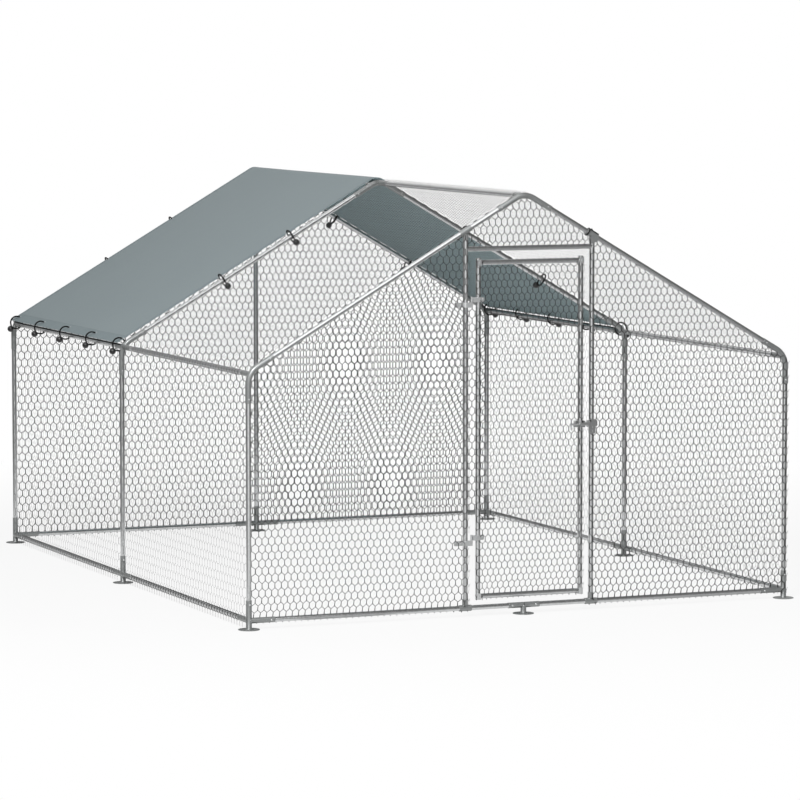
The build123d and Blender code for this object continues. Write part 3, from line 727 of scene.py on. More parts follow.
def netting_tree():
    """Hexagonal netting in a flat panel: staggered units of one twisted upright and two slanted wires."""
    labels = [*SIZES, *CELL, *[f"{end} {what}" for end in ENDS for what in EDGE], *HOLDS]
    inputs = [(label, "Float") for label in labels] + [("Wire", "Material")]
    group, keys, t, given = node_tree("hexagonal netting", inputs)
    get = given.of
    width, cell, pitch = get("Width"), get("Cell Width"), get("Row Pitch")
    half_side = get("Upright") * 0.5

    def top(u):
        left = get("Left Height") + get("Slope") * u
        right = get("Right Height") + get("Slope") * (width - u)
        return left.least(right).least(get("Top Height"))

    columns = (width / cell).floor() + 3.0
    rows = (get("Top Height") / pitch).floor() + 3.0
    index = t.node("GeometryNodeInputIndex")
    row = ((index + 0.5) / columns).floor()
    column = index - row * columns
    u = (column - 1.0 + (row % 2.0) * 0.5) * cell
    sockets = {"Count": columns * rows, "Position": t.vector(u, row * pitch)}
    places = t.node("GeometryNodePoints", None, sockets)
    x, y, _ = t.split(t.node("GeometryNodeInputPosition"))
    outside = (y - half_side > top(x)).most(x < cell * -0.45).most(x > width + cell * 0.45)
    cut = {"domain": "POINT"}
    places = t.node("GeometryNodeDeleteGeometry", cut, {"Geometry": places, "Selection": outside})

    def wire(start, end, radius, sides, count, twist):
        line = t.node("GeometryNodeCurvePrimitiveLine", None, {"Start": start, "End": end})
        line = t.node("GeometryNodeResampleCurve", None, {"Curve": line, "Count": count})
        tilt = t.node("GeometryNodeInputIndex") * twist
        line = t.node("GeometryNodeSetCurveTilt", None, {"Curve": line, "Tilt": tilt})
        section = t.node("GeometryNodeCurvePrimitiveCircle", None, {"Resolution": sides, "Radius": radius})
        sockets = {"Curve": line, "Profile Curve": section, "Fill Caps": True}
        return t.node("GeometryNodeCurveToMesh", None, sockets)

    low, high = t.vector(0.0, half_side * -1.0), t.vector(0.0, half_side)
    parts = [wire(low, high, get("Twist Radius"), 4, 3, 1.9)]
    for hand in (-0.5, 0.5):
        meeting = t.vector(cell * hand, pitch - half_side)
        parts.append(wire(high, meeting, get("Wire Radius"), 3, 2, 0.0))
    unit = t.node("GeometryNodeJoinGeometry", None, {"Geometry": parts})
    net = t.node("GeometryNodeInstanceOnPoints", None, {"Points": places, "Instance": unit})
    net = t.node("GeometryNodeRealizeInstances", None, {"Geometry": net})
    where = t.node("GeometryNodeInputPosition")
    x, y, z = t.split(where)
    nx, ny, _ = t.split(t.noise(where, 9.0, 1.0).of("Color"))
    amount = get("Unevenness")
    x, y = x + (nx - 0.5) * amount, y + (ny - 0.5) * amount
    # Ends gather along the panel's edges, and the edges are drawn back on to the tubes or behind them.
    x = x.most(0.0) + x.least(0.0) * get("Left Gather")
    x = x.least(width) + (x - width).most(0.0) * get("Right Gather")
    y = y.most(0.0) + y.least(0.0) * get("Foot Gather")
    high = top(x)
    y = y.least(high) + (y - high).most(0.0) * get("Head Gather")

    def drawn(end, inside):
        fold = (1.0 - (inside - get(end + " Cover")).most(0.0) / get(end + " Reach")).most(0.0)
        return get(end + " Depth") * fold * fold

    free = (x - get("Left Hold")).least(width - x - get("Right Hold")) / FADE
    ends = drawn("Foot", y).most(drawn("Head", (high - y) * 0.87)) * free.most(0.0).least(1.0)
    back = drawn("Left", x).most(drawn("Right", width - x)).most(ends)
    place = t.vector(x, y, z * get("Flatness") - back)
    net = t.node("GeometryNodeSetPosition", None, {"Geometry": net, "Position": place})
    net = t.node("GeometryNodeSetMaterial", None, {"Geometry": net, "Material": get("Wire")})
    t.node("NodeGroupOutput", None, {"Geometry": net})
    return group, keys


NETTING = netting_tree()


def panel(origin, across, up, sizes, cells, ends, wire=GABLE_WIRE, upright=UPRIGHT):
    """Mesh of a netting panel from its lower left corner, with its ends left, right, foot and head."""
    cell = (CELL_W * cells[0], ROW_PITCH * cells[1], upright * cells[1], WIRE_R * wire[0], TWIST_R * wire[1])
    values = dict(zip(SIZES + CELL, (*sizes, *cell, FLATNESS, UNEVENNESS)))
    values["Wire"] = WIRE
    for end, edge in zip(ENDS, ends):
        values |= {f"{end} {what}": value for what, value in zip(EDGE, edge)}
    for hold, edge in zip(HOLDS, ends):
        values[hold] = HOLD if edge is WRAPPED else -FADE
    mesh = grown("netting", NETTING, values)
    mesh.transform(Matrix.Translation(origin) @ Matrix((across, up, across.cross(up))).transposed().to_4x4())
    return mesh


def oblong(width, height):
    return (width, height, height, height, 0.0)


def near_hinge(point):
    """True in the room that the hinges' leaves swing through."""
    x, y, z = HINGE_ROOM
    if abs(point.x - HINGE_X) > x or abs(point.y + BAY) > y:
        return False
    return any(abs(point.z - hinge_z) < z for hinge_z in HINGE_ZS)


def net_piece(node, *panels):
    """Panels of one node, with whole wires cut out round the hinges."""
    work = bmesh.new()
    for mesh in panels:
        work.from_mesh(mesh)
    reached = [v for v in work.verts if near_hinge(v.co)]
    cut = set()
    while reached:
        vertex = reached.pop()
        if vertex not in cut:
            cut.add(vertex)
            reached += [edge.other_vert(vertex) for edge in vertex.link_edges]
    bmesh.ops.delete(work, geom=list(cut), context="VERTS")
    made = bpy.data.meshes.new(node + "_wire")
    work.to_mesh(made)
    work.free()
    piece(node + "_wire", made, WIRE, [node], BODY_OF[node])


def under_rafter(x):
    return rafter_z(x) - TUBE_R / cos(SLOPE)


def gable_panel(y, across, low_x, high_x, foot_z, cells, ends, wire=GABLE_WIRE, peak_z=None):
    """Panel in a gable, between tubes at low_x and high_x as seen along across, under the rafters."""
    low_x += -TUBE_R if ends[0] is WRAPPED else TUBE_R
    high_x -= -TUBE_R if ends[1] is WRAPPED else TUBE_R
    foot_z += TUBE_R if ends[2] is TUCKED else -PAST_RAIL
    # From a panel's left edge the rafter rises, from its right edge it falls.
    left = under_rafter(low_x) - foot_z if low_x < 0 else NO_LIMIT
    right = under_rafter(high_x) - foot_z if high_x > 0 else NO_LIMIT
    top = (peak_z or max(under_rafter(low_x), under_rafter(high_x))) - foot_z
    origin = across * low_x + ALONG * y + UP * foot_z
    return panel(origin, across, UP, (high_x - low_x, left, right, top, TAN), cells, ends, wire)


front_y, rear_y = -BAY - NET_OUT, BAY + NET_OUT
peak_z = ridge_middle(0).z - SLEEVE_R
left_x, right_x = POST_X["left"], POST_X["right"]
over_posts, over_rail = (WRAPPED, WRAPPED, BEHIND, TUCKED), (TUCKED, TUCKED, OVER, TUCKED)
tucked = (TUCKED,) * 4
for node, *spans in (
    ("front_left_net", front_y, ACROSS, -HALF, left_x, RAIL_Z, (1.008, 1.0), (TUCKED, *over_posts[1:])),
    ("front_right_net", front_y, ACROSS, right_x, HALF, RAIL_Z, (1.02, 1.0), over_posts, RIGHT_WIRE),
    ("front_top_net", front_y, ACROSS, left_x, right_x, HEADER_Z, (0.95, 1.087), tucked, TOP_WIRE, peak_z),
    ("rear_net", rear_y, -ACROSS, -HALF, HALF, RAIL_Z, (1.132, 1.134), over_rail, REAR_WIRE, peak_z),
):
    net_piece(node, gable_panel(*spans))
door_low = Vector((STILE_X["left"] - TUBE_R, front_y, DOOR_FOOT - PAST_RAIL))
sizes = oblong(STILE_X["right"] + TUBE_R - door_low.x, DOOR_TOP + PAST_RAIL - door_low.z)
net_piece("door_net", panel(door_low, ACROSS, UP, sizes, (0.91, 0.916), (WRAPPED, WRAPPED, BEHIND, BEHIND)))
bay_l = BAY - 2 * TUBE_R
wall_sizes = oblong(bay_l, eave_middle(1, 0).z + TUBE_R * 0.5 - WALL_FOOT)
roof_l = (HALF - TUBE_R) / cos(SLOPE) + TAN * NET_OUT - ROOF_LOW
for hand, side in SIDES.items():
    walls, roofs = [], []
    for a, b in BAYS:
        start = a + TUBE_R if side > 0 else b - TUBE_R
        low = Vector((side * (HALF + NET_OUT), start, WALL_FOOT))
        ends = (TUCKED, TUCKED, OVER, OVER)
        walls.append(panel(low, ALONG * side, UP, wall_sizes, (WALL_CELL, WALL_CELL), ends, WALL_WIRE))
        low = eave(side, start) + up_slope(side) * ROOF_LOW + off_slope(side) * NET_OUT
        # Over the front bay the slopes' ends stand up along the ridge; under the tarp they are laid down.
        length, head = (roof_l - 0.010, OVER) if b == 0 else (roof_l, TUCKED)
        sizes, ends = oblong(bay_l, length), (TUCKED, TUCKED, TUCKED, head)
        rise = up_slope(side)
        roofs.append(panel(low, ALONG * side, rise, sizes, (1.0, 1.0), ends, ROOF_WIRE, ROOF_UPRIGHT))
    net_piece(f"{hand}_wall_net", *walls)
    net_piece(f"{hand}_roof_net", *roofs)


# A small tree for pieces that repeat: one unit on each of the given points, turned as the point says
def repeat_tree():
    group, keys, t, given = node_tree("repeated piece", [("Unit", "Object"), ("Finish", "Material")])
    turn = t.node("GeometryNodeInputNamedAttribute", {"data_type": "FLOAT_VECTOR"}, {"Name": "turn"})
    turn = t.node("FunctionNodeEulerToRotation", None, {0: turn})
    unit = t.node("GeometryNodeObjectInfo", None, {"Object": given.of("Unit")}, "Geometry")
    sockets = {"Points": given.of("Geometry"), "Instance": unit, "Rotation": turn}
    many = t.node("GeometryNodeInstanceOnPoints", None, sockets)
    many = t.node("GeometryNodeRealizeInstances", None, {"Geometry": many})
    many = t.node("GeometryNodeSetMaterial", None, {"Geometry": many, "Material": given.of("Finish")})
    t.node("NodeGroupOutput", None, {"Geometry": many})
    return group, keys


REPEAT = repeat_tree()


def facing(right, up):
    """Turn that lays a unit's X along right and its Z along up."""
    return Matrix((right, up.cross(right), up)).transposed().to_euler()


def repeated(name, unit, places, finish, nodes=(), body="frame"):
    """Piece of a unit at each place, given as point and turn."""
    seed = plain_mesh(name + "_points", [p for p, _ in places])
    turns = seed.attributes.new("turn", "FLOAT_VECTOR", "POINT")
    for k, (_, turn) in enumerate(places):
        turns.data[k].vector = turn
    model = bpy.data.objects.new(name + "_unit", unit.mesh(name + "_unit"))
    mesh = grown(name, REPEAT, {"Unit": model, "Finish": finish}, seed)
    bpy.data.objects.remove(model)
    return piece(name, mesh, finish, nodes, body)


# Turns of wire that lace the side netting to the bottom rails and, ahead of the tarp, to the eave purlins
LACE_R, LACE_TIP_R, LACE_OUT = 0.0014, 0.0008, TUBE_R + 0.0009
LACE_STEP, LACE_END = CELL_W * WALL_CELL, 0.15
arc = []
for k in range(10):
    angle = radians(-135 + 30 * k)
    spoke = UP * cos(angle) + ALONG * sin(angle)
    way = UP * -sin(angle) + ALONG * cos(angle)
    arc.append((spoke * LACE_OUT, way, LACE_R if 0 < k < 9 else LACE_TIP_R))
lace_turn = Shape()
lace_turn.hose([(*arc[0][:2], 0)] + arc + [(*arc[-1][:2], 0)], ACROSS, 4)
lace_places = []
for side in SIDES.values():
    lies = facing(ALONG, ACROSS * side)
    for a, b in BAYS:
        for k in range(int((BAY - 2 * LACE_END) / LACE_STEP) + 1):
            y = a + LACE_END + k * LACE_STEP
            lace_places.append((rail(side * HALF, y), lies))
            if b == 0:
                lace_places.append((eave_middle(side, y), lies))
repeated("lacing_turns", lace_turn, lace_places, WIRE)


# Tarp over the rear bay
def tarp_eave(side):
    return eave(side, 0) - up_slope(side) * TARP_EAVE + off_slope(side) * TARP_OUT


def spread(low, high, count):
    return [low + (high - low) * k / count for k in range(count + 1)]


def tarp_line(out=0.0, flat_steps=70, bow_steps=16):
    """Points and outward directions across the tarp, from the left eave over the ridge to the right."""
    apex = Vector((0, 0, RIDGE_Z + TARP_OUT / cos(SLOPE)))
    flats = []
    for side in (-1, 1):
        high = apex - up_slope(side) * TARP_RIDGE_R * TAN
        low, shares = tarp_eave(side), spread(0.0, 1.0, flat_steps)
        flats.append([(low.lerp(high, k), off_slope(side)) for k in shares])
    middle = apex - UP * TARP_RIDGE_R / cos(SLOPE)
    bow = []
    for angle in spread(-SLOPE, SLOPE, bow_steps)[1:-1]:
        way = Vector((sin(angle), 0, cos(angle)))
        bow.append((middle + way * TARP_RIDGE_R, way))
    return [(p + way * out, way) for p, way in flats[0] + bow + flats[1][::-1]]


whole_line = tarp_line()
tarp_width = sum((b - a).length for (a, _), (b, _) in zip(whole_line, whole_line[1:]))


def ripple(s, y):
    """Faint waves of cloth drawn tight between its fastenings, only ever upwards, and none at the edges."""
    wave = 0.5 + 0.25 * sin(5.3 * s + 2.1 * y) + 0.25 * sin(3.1 * y - 7.7 * s + 1.0)
    edge = min(y - TARP_Y[0], TARP_Y[1] - y, s, tarp_width - s) / 0.10
    return 0.0016 * wave * max(0.0, min(1.0, edge))


def cloth_mesh(name, line, ys, lift, thick, wavy=False):
    """Closed sheet over a cross line and lengthwise places, with its own flat map."""
    lengths = [0.0]
    for (a, _), (b, _) in zip(line, line[1:]):
        lengths.append(lengths[-1] + (b - a).length)
    points, faces, flat = [], [], []
    rows, columns = len(line), len(ys)
    for layer in (lift, lift + thick):
        for (p, way), s in zip(line, lengths):
            for y in ys:
                rise = layer + (ripple(s, y) if wavy else 0.0)
                points.append(p + way * rise + ALONG * y)
                flat.append((s, y))
    half = rows * columns
    for i in range(rows - 1):
        for j in range(columns - 1):
            a = i * columns + j
            quad = (a, a + 1, a + columns + 1, a + columns)
            faces += [quad, tuple(half + k for k in quad[::-1])]
    border = [*range(columns), *[i * columns + columns - 1 for i in range(1, rows)]]
    border += [(rows - 1) * columns + j for j in range(columns - 2, -1, -1)]
    border += [i * columns for i in range(rows - 2, 0, -1)]
    for a, b in zip(border, border[1:] + border[:1]):
        faces.append((a, half + a, half + b, b))
    made = plain_mesh(name, points, faces)
    # The underside layer is marked, so that the cloth's finish can paint it lighter as painted light against
    # the shade under the tarp
    inner = made.attributes.new("inner", "FLOAT", "POINT")
    for k in range(half):
        inner.data[k].value = 1.0
    layer = made.uv_layers.new(name="flat")
    for loop in made.loops:
        layer.data[loop.index].uv = flat[loop.vertex_index]
    return finished(made, 50)


tarp_mesh = cloth_mesh("tarp_sheet", whole_line, spread(*TARP_Y, 72), 0.0, TARP_T, True)
tarp_sheet = piece("tarp_sheet", tarp_mesh, TARP, ["tarp"])
inner_y = TARP_Y[0] + HEM_W, TARP_Y[1] - HEM_W
hems = {
    "front": (whole_line, spread(TARP_Y[0], inner_y[0], 3)),
    "rear": (whole_line, spread(inner_y[1], TARP_Y[1], 3)),
}
for hand, side in SIDES.items():
    strip = [(tarp_eave(side) + up_slope(side) * d, off_slope(side)) for d in spread(0.0, EAVE_HEM_W, 5)]
    hems[hand] = (strip, spread(*inner_y, 40))
for name, (line, ys) in hems.items():
    mesh = cloth_mesh(f"tarp_{name}_hem", line, ys, HEM_LIFT, HEM_T)
    piece(f"tarp_{name}_hem", mesh, HEM)

# Black cord under each eave edge of the tarp, laid against the purlin's outside: painted shade, a dark cord
# standing in for the shadow under the tarp's edge
painted_shade_cord = Shape()
painted_shade_lean = radians(50)
for side in SIDES.values():
    spoke = ACROSS * side * cos(painted_shade_lean) + UP * sin(painted_shade_lean)
    line = eave_middle(side, 0) + spoke * (STUB_R + PAINTED_SHADE_CORD_R)
    ys = spread(TARP_Y[0] + 0.004, TARP_Y[1] - 0.004, 60)
    painted_shade_cord.turned(line, ALONG, [(ys[0], 0), *[(y, PAINTED_SHADE_CORD_R) for y in ys], (ys[-1], 0)], ACROSS, 12)
piece("tarp_edge_cord", painted_shade_cord, CORD)

# Bungees: where each loop's tube, hole in the tarp and ball lie, in a plane across the tube
loop_flat = cos(pi / 8)
loop_seat = (LOOP_R - CAD_CORD / 2) * loop_flat - TUBE_R - 0.0003
ball_reach = (LOOP_R + CAD_CORD / 2) * loop_flat + 0.0003 + BALL_R * sin(radians(60))
bungees = []
for hand, side in SIDES.items():
    for y in spread(BUNGEE_END, BAY - BUNGEE_END, 4):
        bungees.append(("eave", side, eave_middle(side, y), up_slope(side)))
    for share in RAFTER_BUNGEES[hand]:
        axis = eave(side, 0.0) + up_slope(side) * share * RAFTER
        bungees.append(("mid", side, axis, ALONG))
        bungees.append(("rear", side, axis + ALONG * BAY, -ALONG))


def hull(points):
    points = sorted(set(points))
    chains = []
    for ordered in (points, points[::-1]):
        chain = []
        for p in ordered:
            while len(chain) > 1:
                (ax, ay), (bx, by) = chain[-2], chain[-1]
                if (bx - ax) * (p[1] - ay) - (by - ay) * (p[0] - ax) > 1e-12:
                    break
                chain.pop()
            chain.append(p)
        chains.append(chain[:-1])
    return chains[0] + chains[1]


def disc(x, y, radius, count):
    turns = [2 * pi * k / count for k in range(count)]
    return [(round(x + radius * cos(a), 7), round(y + radius * sin(a), 7)) for a in turns]


def evenly(outline, count):
    """Points at even steps along a closed outline."""
    corners = [Vector(p) for p in outline]
    lengths = [(q - p).length for p, q in zip(corners, corners[1:] + corners[:1])]
    found, k, passed = [], 0, 0.0
    for goal in spread(0.0, sum(lengths), count)[:-1]:
        while passed + lengths[k] < goal:
            passed += lengths[k]
            k += 1
        found.append(corners[k].lerp(corners[(k + 1) % len(corners)], (goal - passed) / lengths[k]))
    return found


def below_slope(side, tilt):
    return ALONG * cos(radians(tilt)) - off_slope(side) * sin(radians(tilt))


def bungee_places(kind, side, axis, inward):
    """From the tube's axis: the loop's centre, its ball, and the hole in the tarp that it goes through."""
    off = off_slope(side)
    if kind == "eave":
        on_sleeve = min(axis.y, BAY - axis.y) < PURLIN_ARM
        away = (ACROSS * side + UP).normalized() * (loop_seat - (STUB_R - TUBE_R if on_sleeve else 0.0))
        ball_way = (ACROSS * side - UP).normalized()
    elif kind == "mid":
        away = ALONG * loop_seat
        ball_way = (ALONG * side - off).normalized()
    else:
        away = below_slope(side, 22.0) * loop_seat
        ball_way = below_slope(side, 67.0)
    rise = TARP_OUT + TARP_T / 2 - (axis + away - eave(side, axis.y)).dot(off)
    reach = sqrt((LOOP_R * (1 + loop_flat) / 2) ** 2 - rise**2)
    return away, away + ball_way * ball_reach, away + inward * reach + off * rise


cord_shape, ball_places, ring_places = Shape(), [], []
for kind, side, axis, inward in bungees:
    out, off = -inward, off_slope(side)
    run = out.cross(off)
    away, ball, hole = bungee_places(kind, side, axis, inward)
    ball_way = (ball - away).normalized()
    neck = ball - ball_way * BALL_R * 0.8
    about_tube = disc(away.dot(out), away.dot(off), LOOP_R - 0.0016, 48)
    in_neck = disc(neck.dot(out), neck.dot(off), 0.003, 12)
    samples = evenly(hull(about_tube + in_neck), LOOP_STEPS)
    stations = []
    for n, p in enumerate(samples):
        before, after = samples[n - 1], samples[(n + 1) % LOOP_STEPS]
        q = before * 0.25 + p * 0.5 + after * 0.25
        way = (after - before).normalized()
        stations.append((axis + out * q.x + off * q.y, out * way.x + off * way.y, CORD_R, run))
    cord_shape.hose(stations, run, 10, True)
    ball_places.append((axis + ball, facing(run, ball_way)))
    ring_places.append((axis + hole + off * TARP_T / 2, facing(ALONG, off)))

piece("bungee_cord_loops", cord_shape, CORD, ["bungee_cords"])
ball_unit = Shape()
full_r = BALL_R + 0.0013
angles = [radians(a) for a in range(24, 180, 12)]
profile = [(-cos(a) * full_r, sin(a) * full_r) for a in angles] + [(full_r, 0)]
neck_z = profile[0][0]
profile = [(neck_z + 0.004, 0), (neck_z + 0.004, 0.004), (neck_z, 0.0052)] + profile
ball_unit.turned(Vector(), UP, profile, ACROSS, 28)
repeated("bungee_balls_round", ball_unit, ball_places, BALL, ["bungee_balls"])

ring_unit = Shape()
collar = [(0.0002, 0.0052), (0.0011, 0.0058), (0.0013, 0.0078), (0.0008, 0.0098), (0.0, 0.0106)]
collar += [(-0.0004, 0.0106), (-0.0004, 0.0052)]
ring_unit.turned(Vector(), UP, collar, ACROSS, 24, True)
repeated("tarp_eyelets", ring_unit, ring_places, RING_METAL)

stitch_places = []
seam_line = tarp_line(SEAM_LIFT)
for y in (inner_y[0] - STITCH_IN, inner_y[1] + STITCH_IN):
    walked = 0.0
    for (a, way), (b, _) in zip(seam_line, seam_line[1:]):
        run = (b - a).length
        along = (b - a) / run
        while walked < run:
            stitch_places.append((a + along * walked + ALONG * y, facing(along, way)))
            walked += STITCH_STEP
        walked -= run
for side in SIDES.values():
    seam = tarp_eave(side) + up_slope(side) * (EAVE_HEM_W - STITCH_IN) + off_slope(side) * SEAM_LIFT
    for k in range(int((inner_y[1] - inner_y[0]) / STITCH_STEP)):
        y = inner_y[0] + 0.006 + k * STITCH_STEP
        stitch_places.append((seam + ALONG * y, facing(ALONG, off_slope(side))))
stitch = Shape()
profile = [(-0.0028, 0.0), (-0.0024, 0.0005), (0.0024, 0.0005), (0.0028, 0.0)]
stitch.turned(Vector(), ACROSS, profile, UP, 5)
repeated("tarp_stitches", stitch, stitch_places, THREAD)

# Hinges and latch: straps bent round the tubes, drawn together by bolts through their ears
STRAP_R = 0.01425
STRAP_T = 0.0016
STRAP_IN = STRAP_R - STRAP_T
EAR_HALF = 0.0012  # from the ears' meeting plane to the middle of each ear
EAR, LONG_EAR = 0.032, 0.060
EAR_BOLT = 0.0235  # from a tube's axis to the bolt through a short ear
STRAP_H = 0.024
STRAP_SPLIT = 0.001
OVER_NET, OVER_NET_T = STRAP_R + 0.0015, 0.0034  # plates that lie over the netting
KNUCKLE_R, KNUCKLE_BORE = 0.0060, 0.00306
STRAP_BOLT, KEEPER_BOLT, BLACK_BOLT = 0.0046, 0.0042, 0.0060


def rounded(low, high, radius, square="", steps=6):
    """Outline of a plate with round corners, apart from an end that is left square."""
    (x0, x1), (y0, y1) = sorted((low[0], high[0])), (low[1], high[1])
    found = []
    corners = (x1, y0, -90, "high"), (x1, y1, 0, "high"), (x0, y1, 90, "low"), (x0, y0, 180, "low")
    for cx, cy, turn, end in corners:
        if end == square:
            found.append((cx, cy))
            continue
        mx = cx - radius if cx == x1 else cx + radius
        my = cy - radius if cy == y1 else cy + radius
        for k in range(steps + 1):
            angle = radians(turn + 90 * k / steps)
            found.append((mx + radius * cos(angle), my + radius * sin(angle)))
    return found


def ears(shape, axis, near, far, height, radius, square):
    """Two plates that lie against each other, from near to far out of an upright tube's axis."""
    outline = rounded((near, -height / 2), (far, height / 2), radius, square)
    for face in (-1, 1):
        shape.plate(outline, axis + ALONG * face * EAR_HALF, ACROSS, UP, STRAP_T)


def strap(shape, x, z, height, ear, ear_side, holes):
    """Band round an upright tube with a pair of ears, bolted at the given places out from the tube."""
    axis, half = front(x, z), UP * height / 2
    shape.tube(axis - half, axis + half, STRAP_R, STRAP_IN, edge=BLUNT)
    ears(shape, axis, ear_side * STRAP_IN, ear_side * ear, height, 0.006, "low" if ear_side > 0 else "high")
    for place, lift in holes:
        spot = axis + ACROSS * ear_side * place + UP * lift - ALONG * 0.0020
        shape.bolt(spot, -ALONG, STRAP_BOLT, 0.010)


def hinge_leaf(shape, x, z, ear, ear_side, holes):
    strap(shape, x, z, STRAP_H, ear, ear_side, holes)
    reach, half = abs(HINGE_X - x), UP * STRAP_H / 2
    ears(shape, front(x, z), -ear_side * STRAP_IN, -ear_side * (reach - 0.0045), STRAP_H, 0.001, "low")
    outline = rounded((-ear_side * (reach - 0.002), -STRAP_H / 2), (ear_side * 0.004, STRAP_H / 2), 0.003)
    shape.plate(outline, front(x, z) - ALONG * OVER_NET, ACROSS, UP, OVER_NET_T)
    knuckle = front(HINGE_X, z)
    shape.tube(knuckle - half, knuckle + half, KNUCKLE_R, KNUCKLE_BORE, 24, BLUNT)


leaf_z = (STRAP_H + STRAP_SPLIT) / 2
end = STRAP_H + STRAP_SPLIT / 2 + 0.0002
dome = [(end, 0.0030), (end, 0.0051), (end + 0.0012, 0.0055), (end + 0.0022, 0.0042), (end + 0.0029, 0.0)]
post_leaves, door_leaves, pins = Shape(), Shape(), Shape()
for z in HINGE_ZS:
    hinge_leaf(post_leaves, POST_X["left"], z - leaf_z, LONG_EAR, -1, [(0.028, 0.0), (0.050, 0.0)])
    hinge_leaf(door_leaves, STILE_X["left"], z + leaf_z, EAR, 1, [(EAR_BOLT, 0.0)])
    pins.turned(front(HINGE_X, z), UP, [(-h, r) for h, r in dome[::-1]] + dome, ACROSS, 24)
piece("hinge_post_leaves", post_leaves, STRAP_STEEL, ["hinge_post_straps"])
piece("hinge_door_leaves", door_leaves, STRAP_STEEL, ["hinge_door_straps"], "door")
piece("hinge_round_pins", pins, SCREW_STEEL, ["hinge_pins"])

LATCH_H = 0.032
LATCH_HOLES = [(EAR_BOLT, 0.008), (EAR_BOLT, -0.008)]
BOLT_OUT = 0.0255  # from the door's plane forwards to the bolt's axis
BARREL_X = (STILE_X["right"] - 0.016, STILE_X["right"] + 0.028)
BOLT_X = BARREL_X[0] - 0.052
low, high = -LATCH_H / 2, LATCH_H / 2


def on_bolt(x):
    return front(x, LATCH_Z) - ALONG * BOLT_OUT


barrel = Shape()
strap(barrel, STILE_X["right"], LATCH_Z, LATCH_H, EAR, -1, LATCH_HOLES)
outline = rounded((-0.0250, low), (0.0, high), 0.004, "high")
barrel.plate(outline, front(STILE_X["right"] + STRAP_R + 0.0012, LATCH_Z), ALONG, UP, 0.0038, BLUNT)
barrel.tube(on_bolt(BARREL_X[0]), on_bolt(BARREL_X[1]), 0.008, 0.0053, 28, 0.0006)
piece("latch_round_barrel", barrel, LATCH_STEEL, ["latch_barrel"], "door")

bolt = Shape()
bolt.rod(on_bolt(BOLT_X), on_bolt(BARREL_X[1]), 0.0050, 0.0009, 24)
drop = [(0.0, 0.0), (0.0, 0.0040), (0.0255, 0.0040), (0.0280, 0.0036), (0.0295, 0.0022), (0.0300, 0.0)]
bolt.turned(on_bolt(BOLT_X + 0.008), -UP, drop, ACROSS, 20)
piece("latch_round_bolt", bolt, SCREW_STEEL, ["latch_bolt"], "latch_bolt")

# The keeper's side is four plates round the slot that the bolt slides into
keeper = Shape()
strap(keeper, POST_X["right"], LATCH_Z, LATCH_H, EAR, 1, LATCH_HOLES)
keeper_t, rim_y, slot = 0.004, -0.0375, 0.006
keeper_x = BARREL_X[1] + 0.007 + keeper_t / 2
web = rounded((keeper_x - POST_X["right"], low), (-STRAP_IN, high), 0.001, "high")
keeper.plate(web, front(POST_X["right"], LATCH_Z), ACROSS, UP, keeper_t - 0.0002, BLUNT)
near, far = slot - BOLT_OUT, -slot - BOLT_OUT
for outline in (
    [(near, low), (0.002, low), (0.002, high), (near, high)],
    [(rim_y, slot), (near, slot), (near, high), (rim_y, high)],
    [(rim_y, low + 0.012), (rim_y + 0.012, low), (near, low), (near, -slot), (rim_y, -slot)],
    [(rim_y, -slot), (far, -slot), (far, slot), (rim_y, slot)],
):
    keeper.plate(outline, front(keeper_x, LATCH_Z), ALONG, UP, keeper_t, 0.00005)
post_front = front(POST_X["right"], LATCH_Z) - ALONG * OVER_NET
keeper.plate(rounded((-0.022, -0.050), (0.016, 0.022), 0.006), post_front, ACROSS, UP, OVER_NET_T)
for lift in (-0.038, -0.020):
    keeper.bolt(post_front + UP * lift - ALONG * 0.0014, -ALONG, KEEPER_BOLT)
piece("latch_bent_keeper", keeper, LATCH_STEEL, ["latch_keeper"])

# Black bolt, strip and band that close the right rafter's tee clamp, and a black bolt in the keeper
rise, off = up_slope(1), off_slope(1)
black = Shape()
black.tube(clamp + rise * 0.0255, clamp + rise * 0.0318, TEE_R + 0.0060, TEE_R - 0.0002, edge=0.0006)
strip = rounded((-0.031, -0.0070), (0.012, 0.0070), 0.002)
black.plate(strip, clamp + off * (TEE_R + 0.0018), rise, ALONG, 0.0046, BLUNT)
black.bolt(post_front + Vector((-0.014, -0.0015, 0.013)), -ALONG, BLACK_BOLT)
stem = [(-0.001, 0), (-0.001, 0.005), (0.007, 0.005), (0.009, 0.004), (0.0095, 0)]
black.turned(clamp + rise * 0.014 + off * TEE_R, off, stem, ALONG, 16)
piece("black_bolts", black, BLACK_STEEL)


# Screws through the sleeves' arms, near their mouths
def screw(axis, way, radius):
    return axis + way * radius, facing(way.orthogonal().normalized(), way)


arms = []
for name, y in FRAMES.items():
    outward = ALONG if name == "rear" else -ALONG
    for side in SIDES.values():
        arms.append((eave(side, y), -UP, EAVE_ARM, outward, SLEEVE_R))
        arms.append((eave(side, y), up_slope(side), EAVE_ARM, outward, SLEEVE_R))
        arms.append((ridge(y), -up_slope(side), RIDGE_ARM, outward, SLEEVE_R))
        arms.append((Vector((side * HALF, y, 0)), UP, FOOT_TOP, outward, SLEEVE_R))
        if name != "mid":
            arms.append((rail(side * HALF, y), -ACROSS * side, FOOT_ARM, outward, STUB_R))
    for way, _ in purlin_stubs(name):
        arms.append((ridge_middle(y), way, PURLIN_ARM, -UP, STUB_R))
        for side in SIDES.values():
            arms.append((eave_middle(side, y), way, PURLIN_ARM, -ACROSS * side, STUB_R))
            arms.append((rail(side * HALF, y), way, FOOT_ARM, -ACROSS * side, STUB_R))
for s in (-1, 1):
    arms.append((rail(0, -BAY), ACROSS * s, FOOT_TEE_ARM, -ALONG, STUB_R))
    arms.append((rail(0, BAY), ACROSS * s, FOOT_ARM, ALONG, STUB_R))
sleeve_screws = [screw(root + arm * (length - SCREW_IN), *rest) for root, arm, length, *rest in arms]
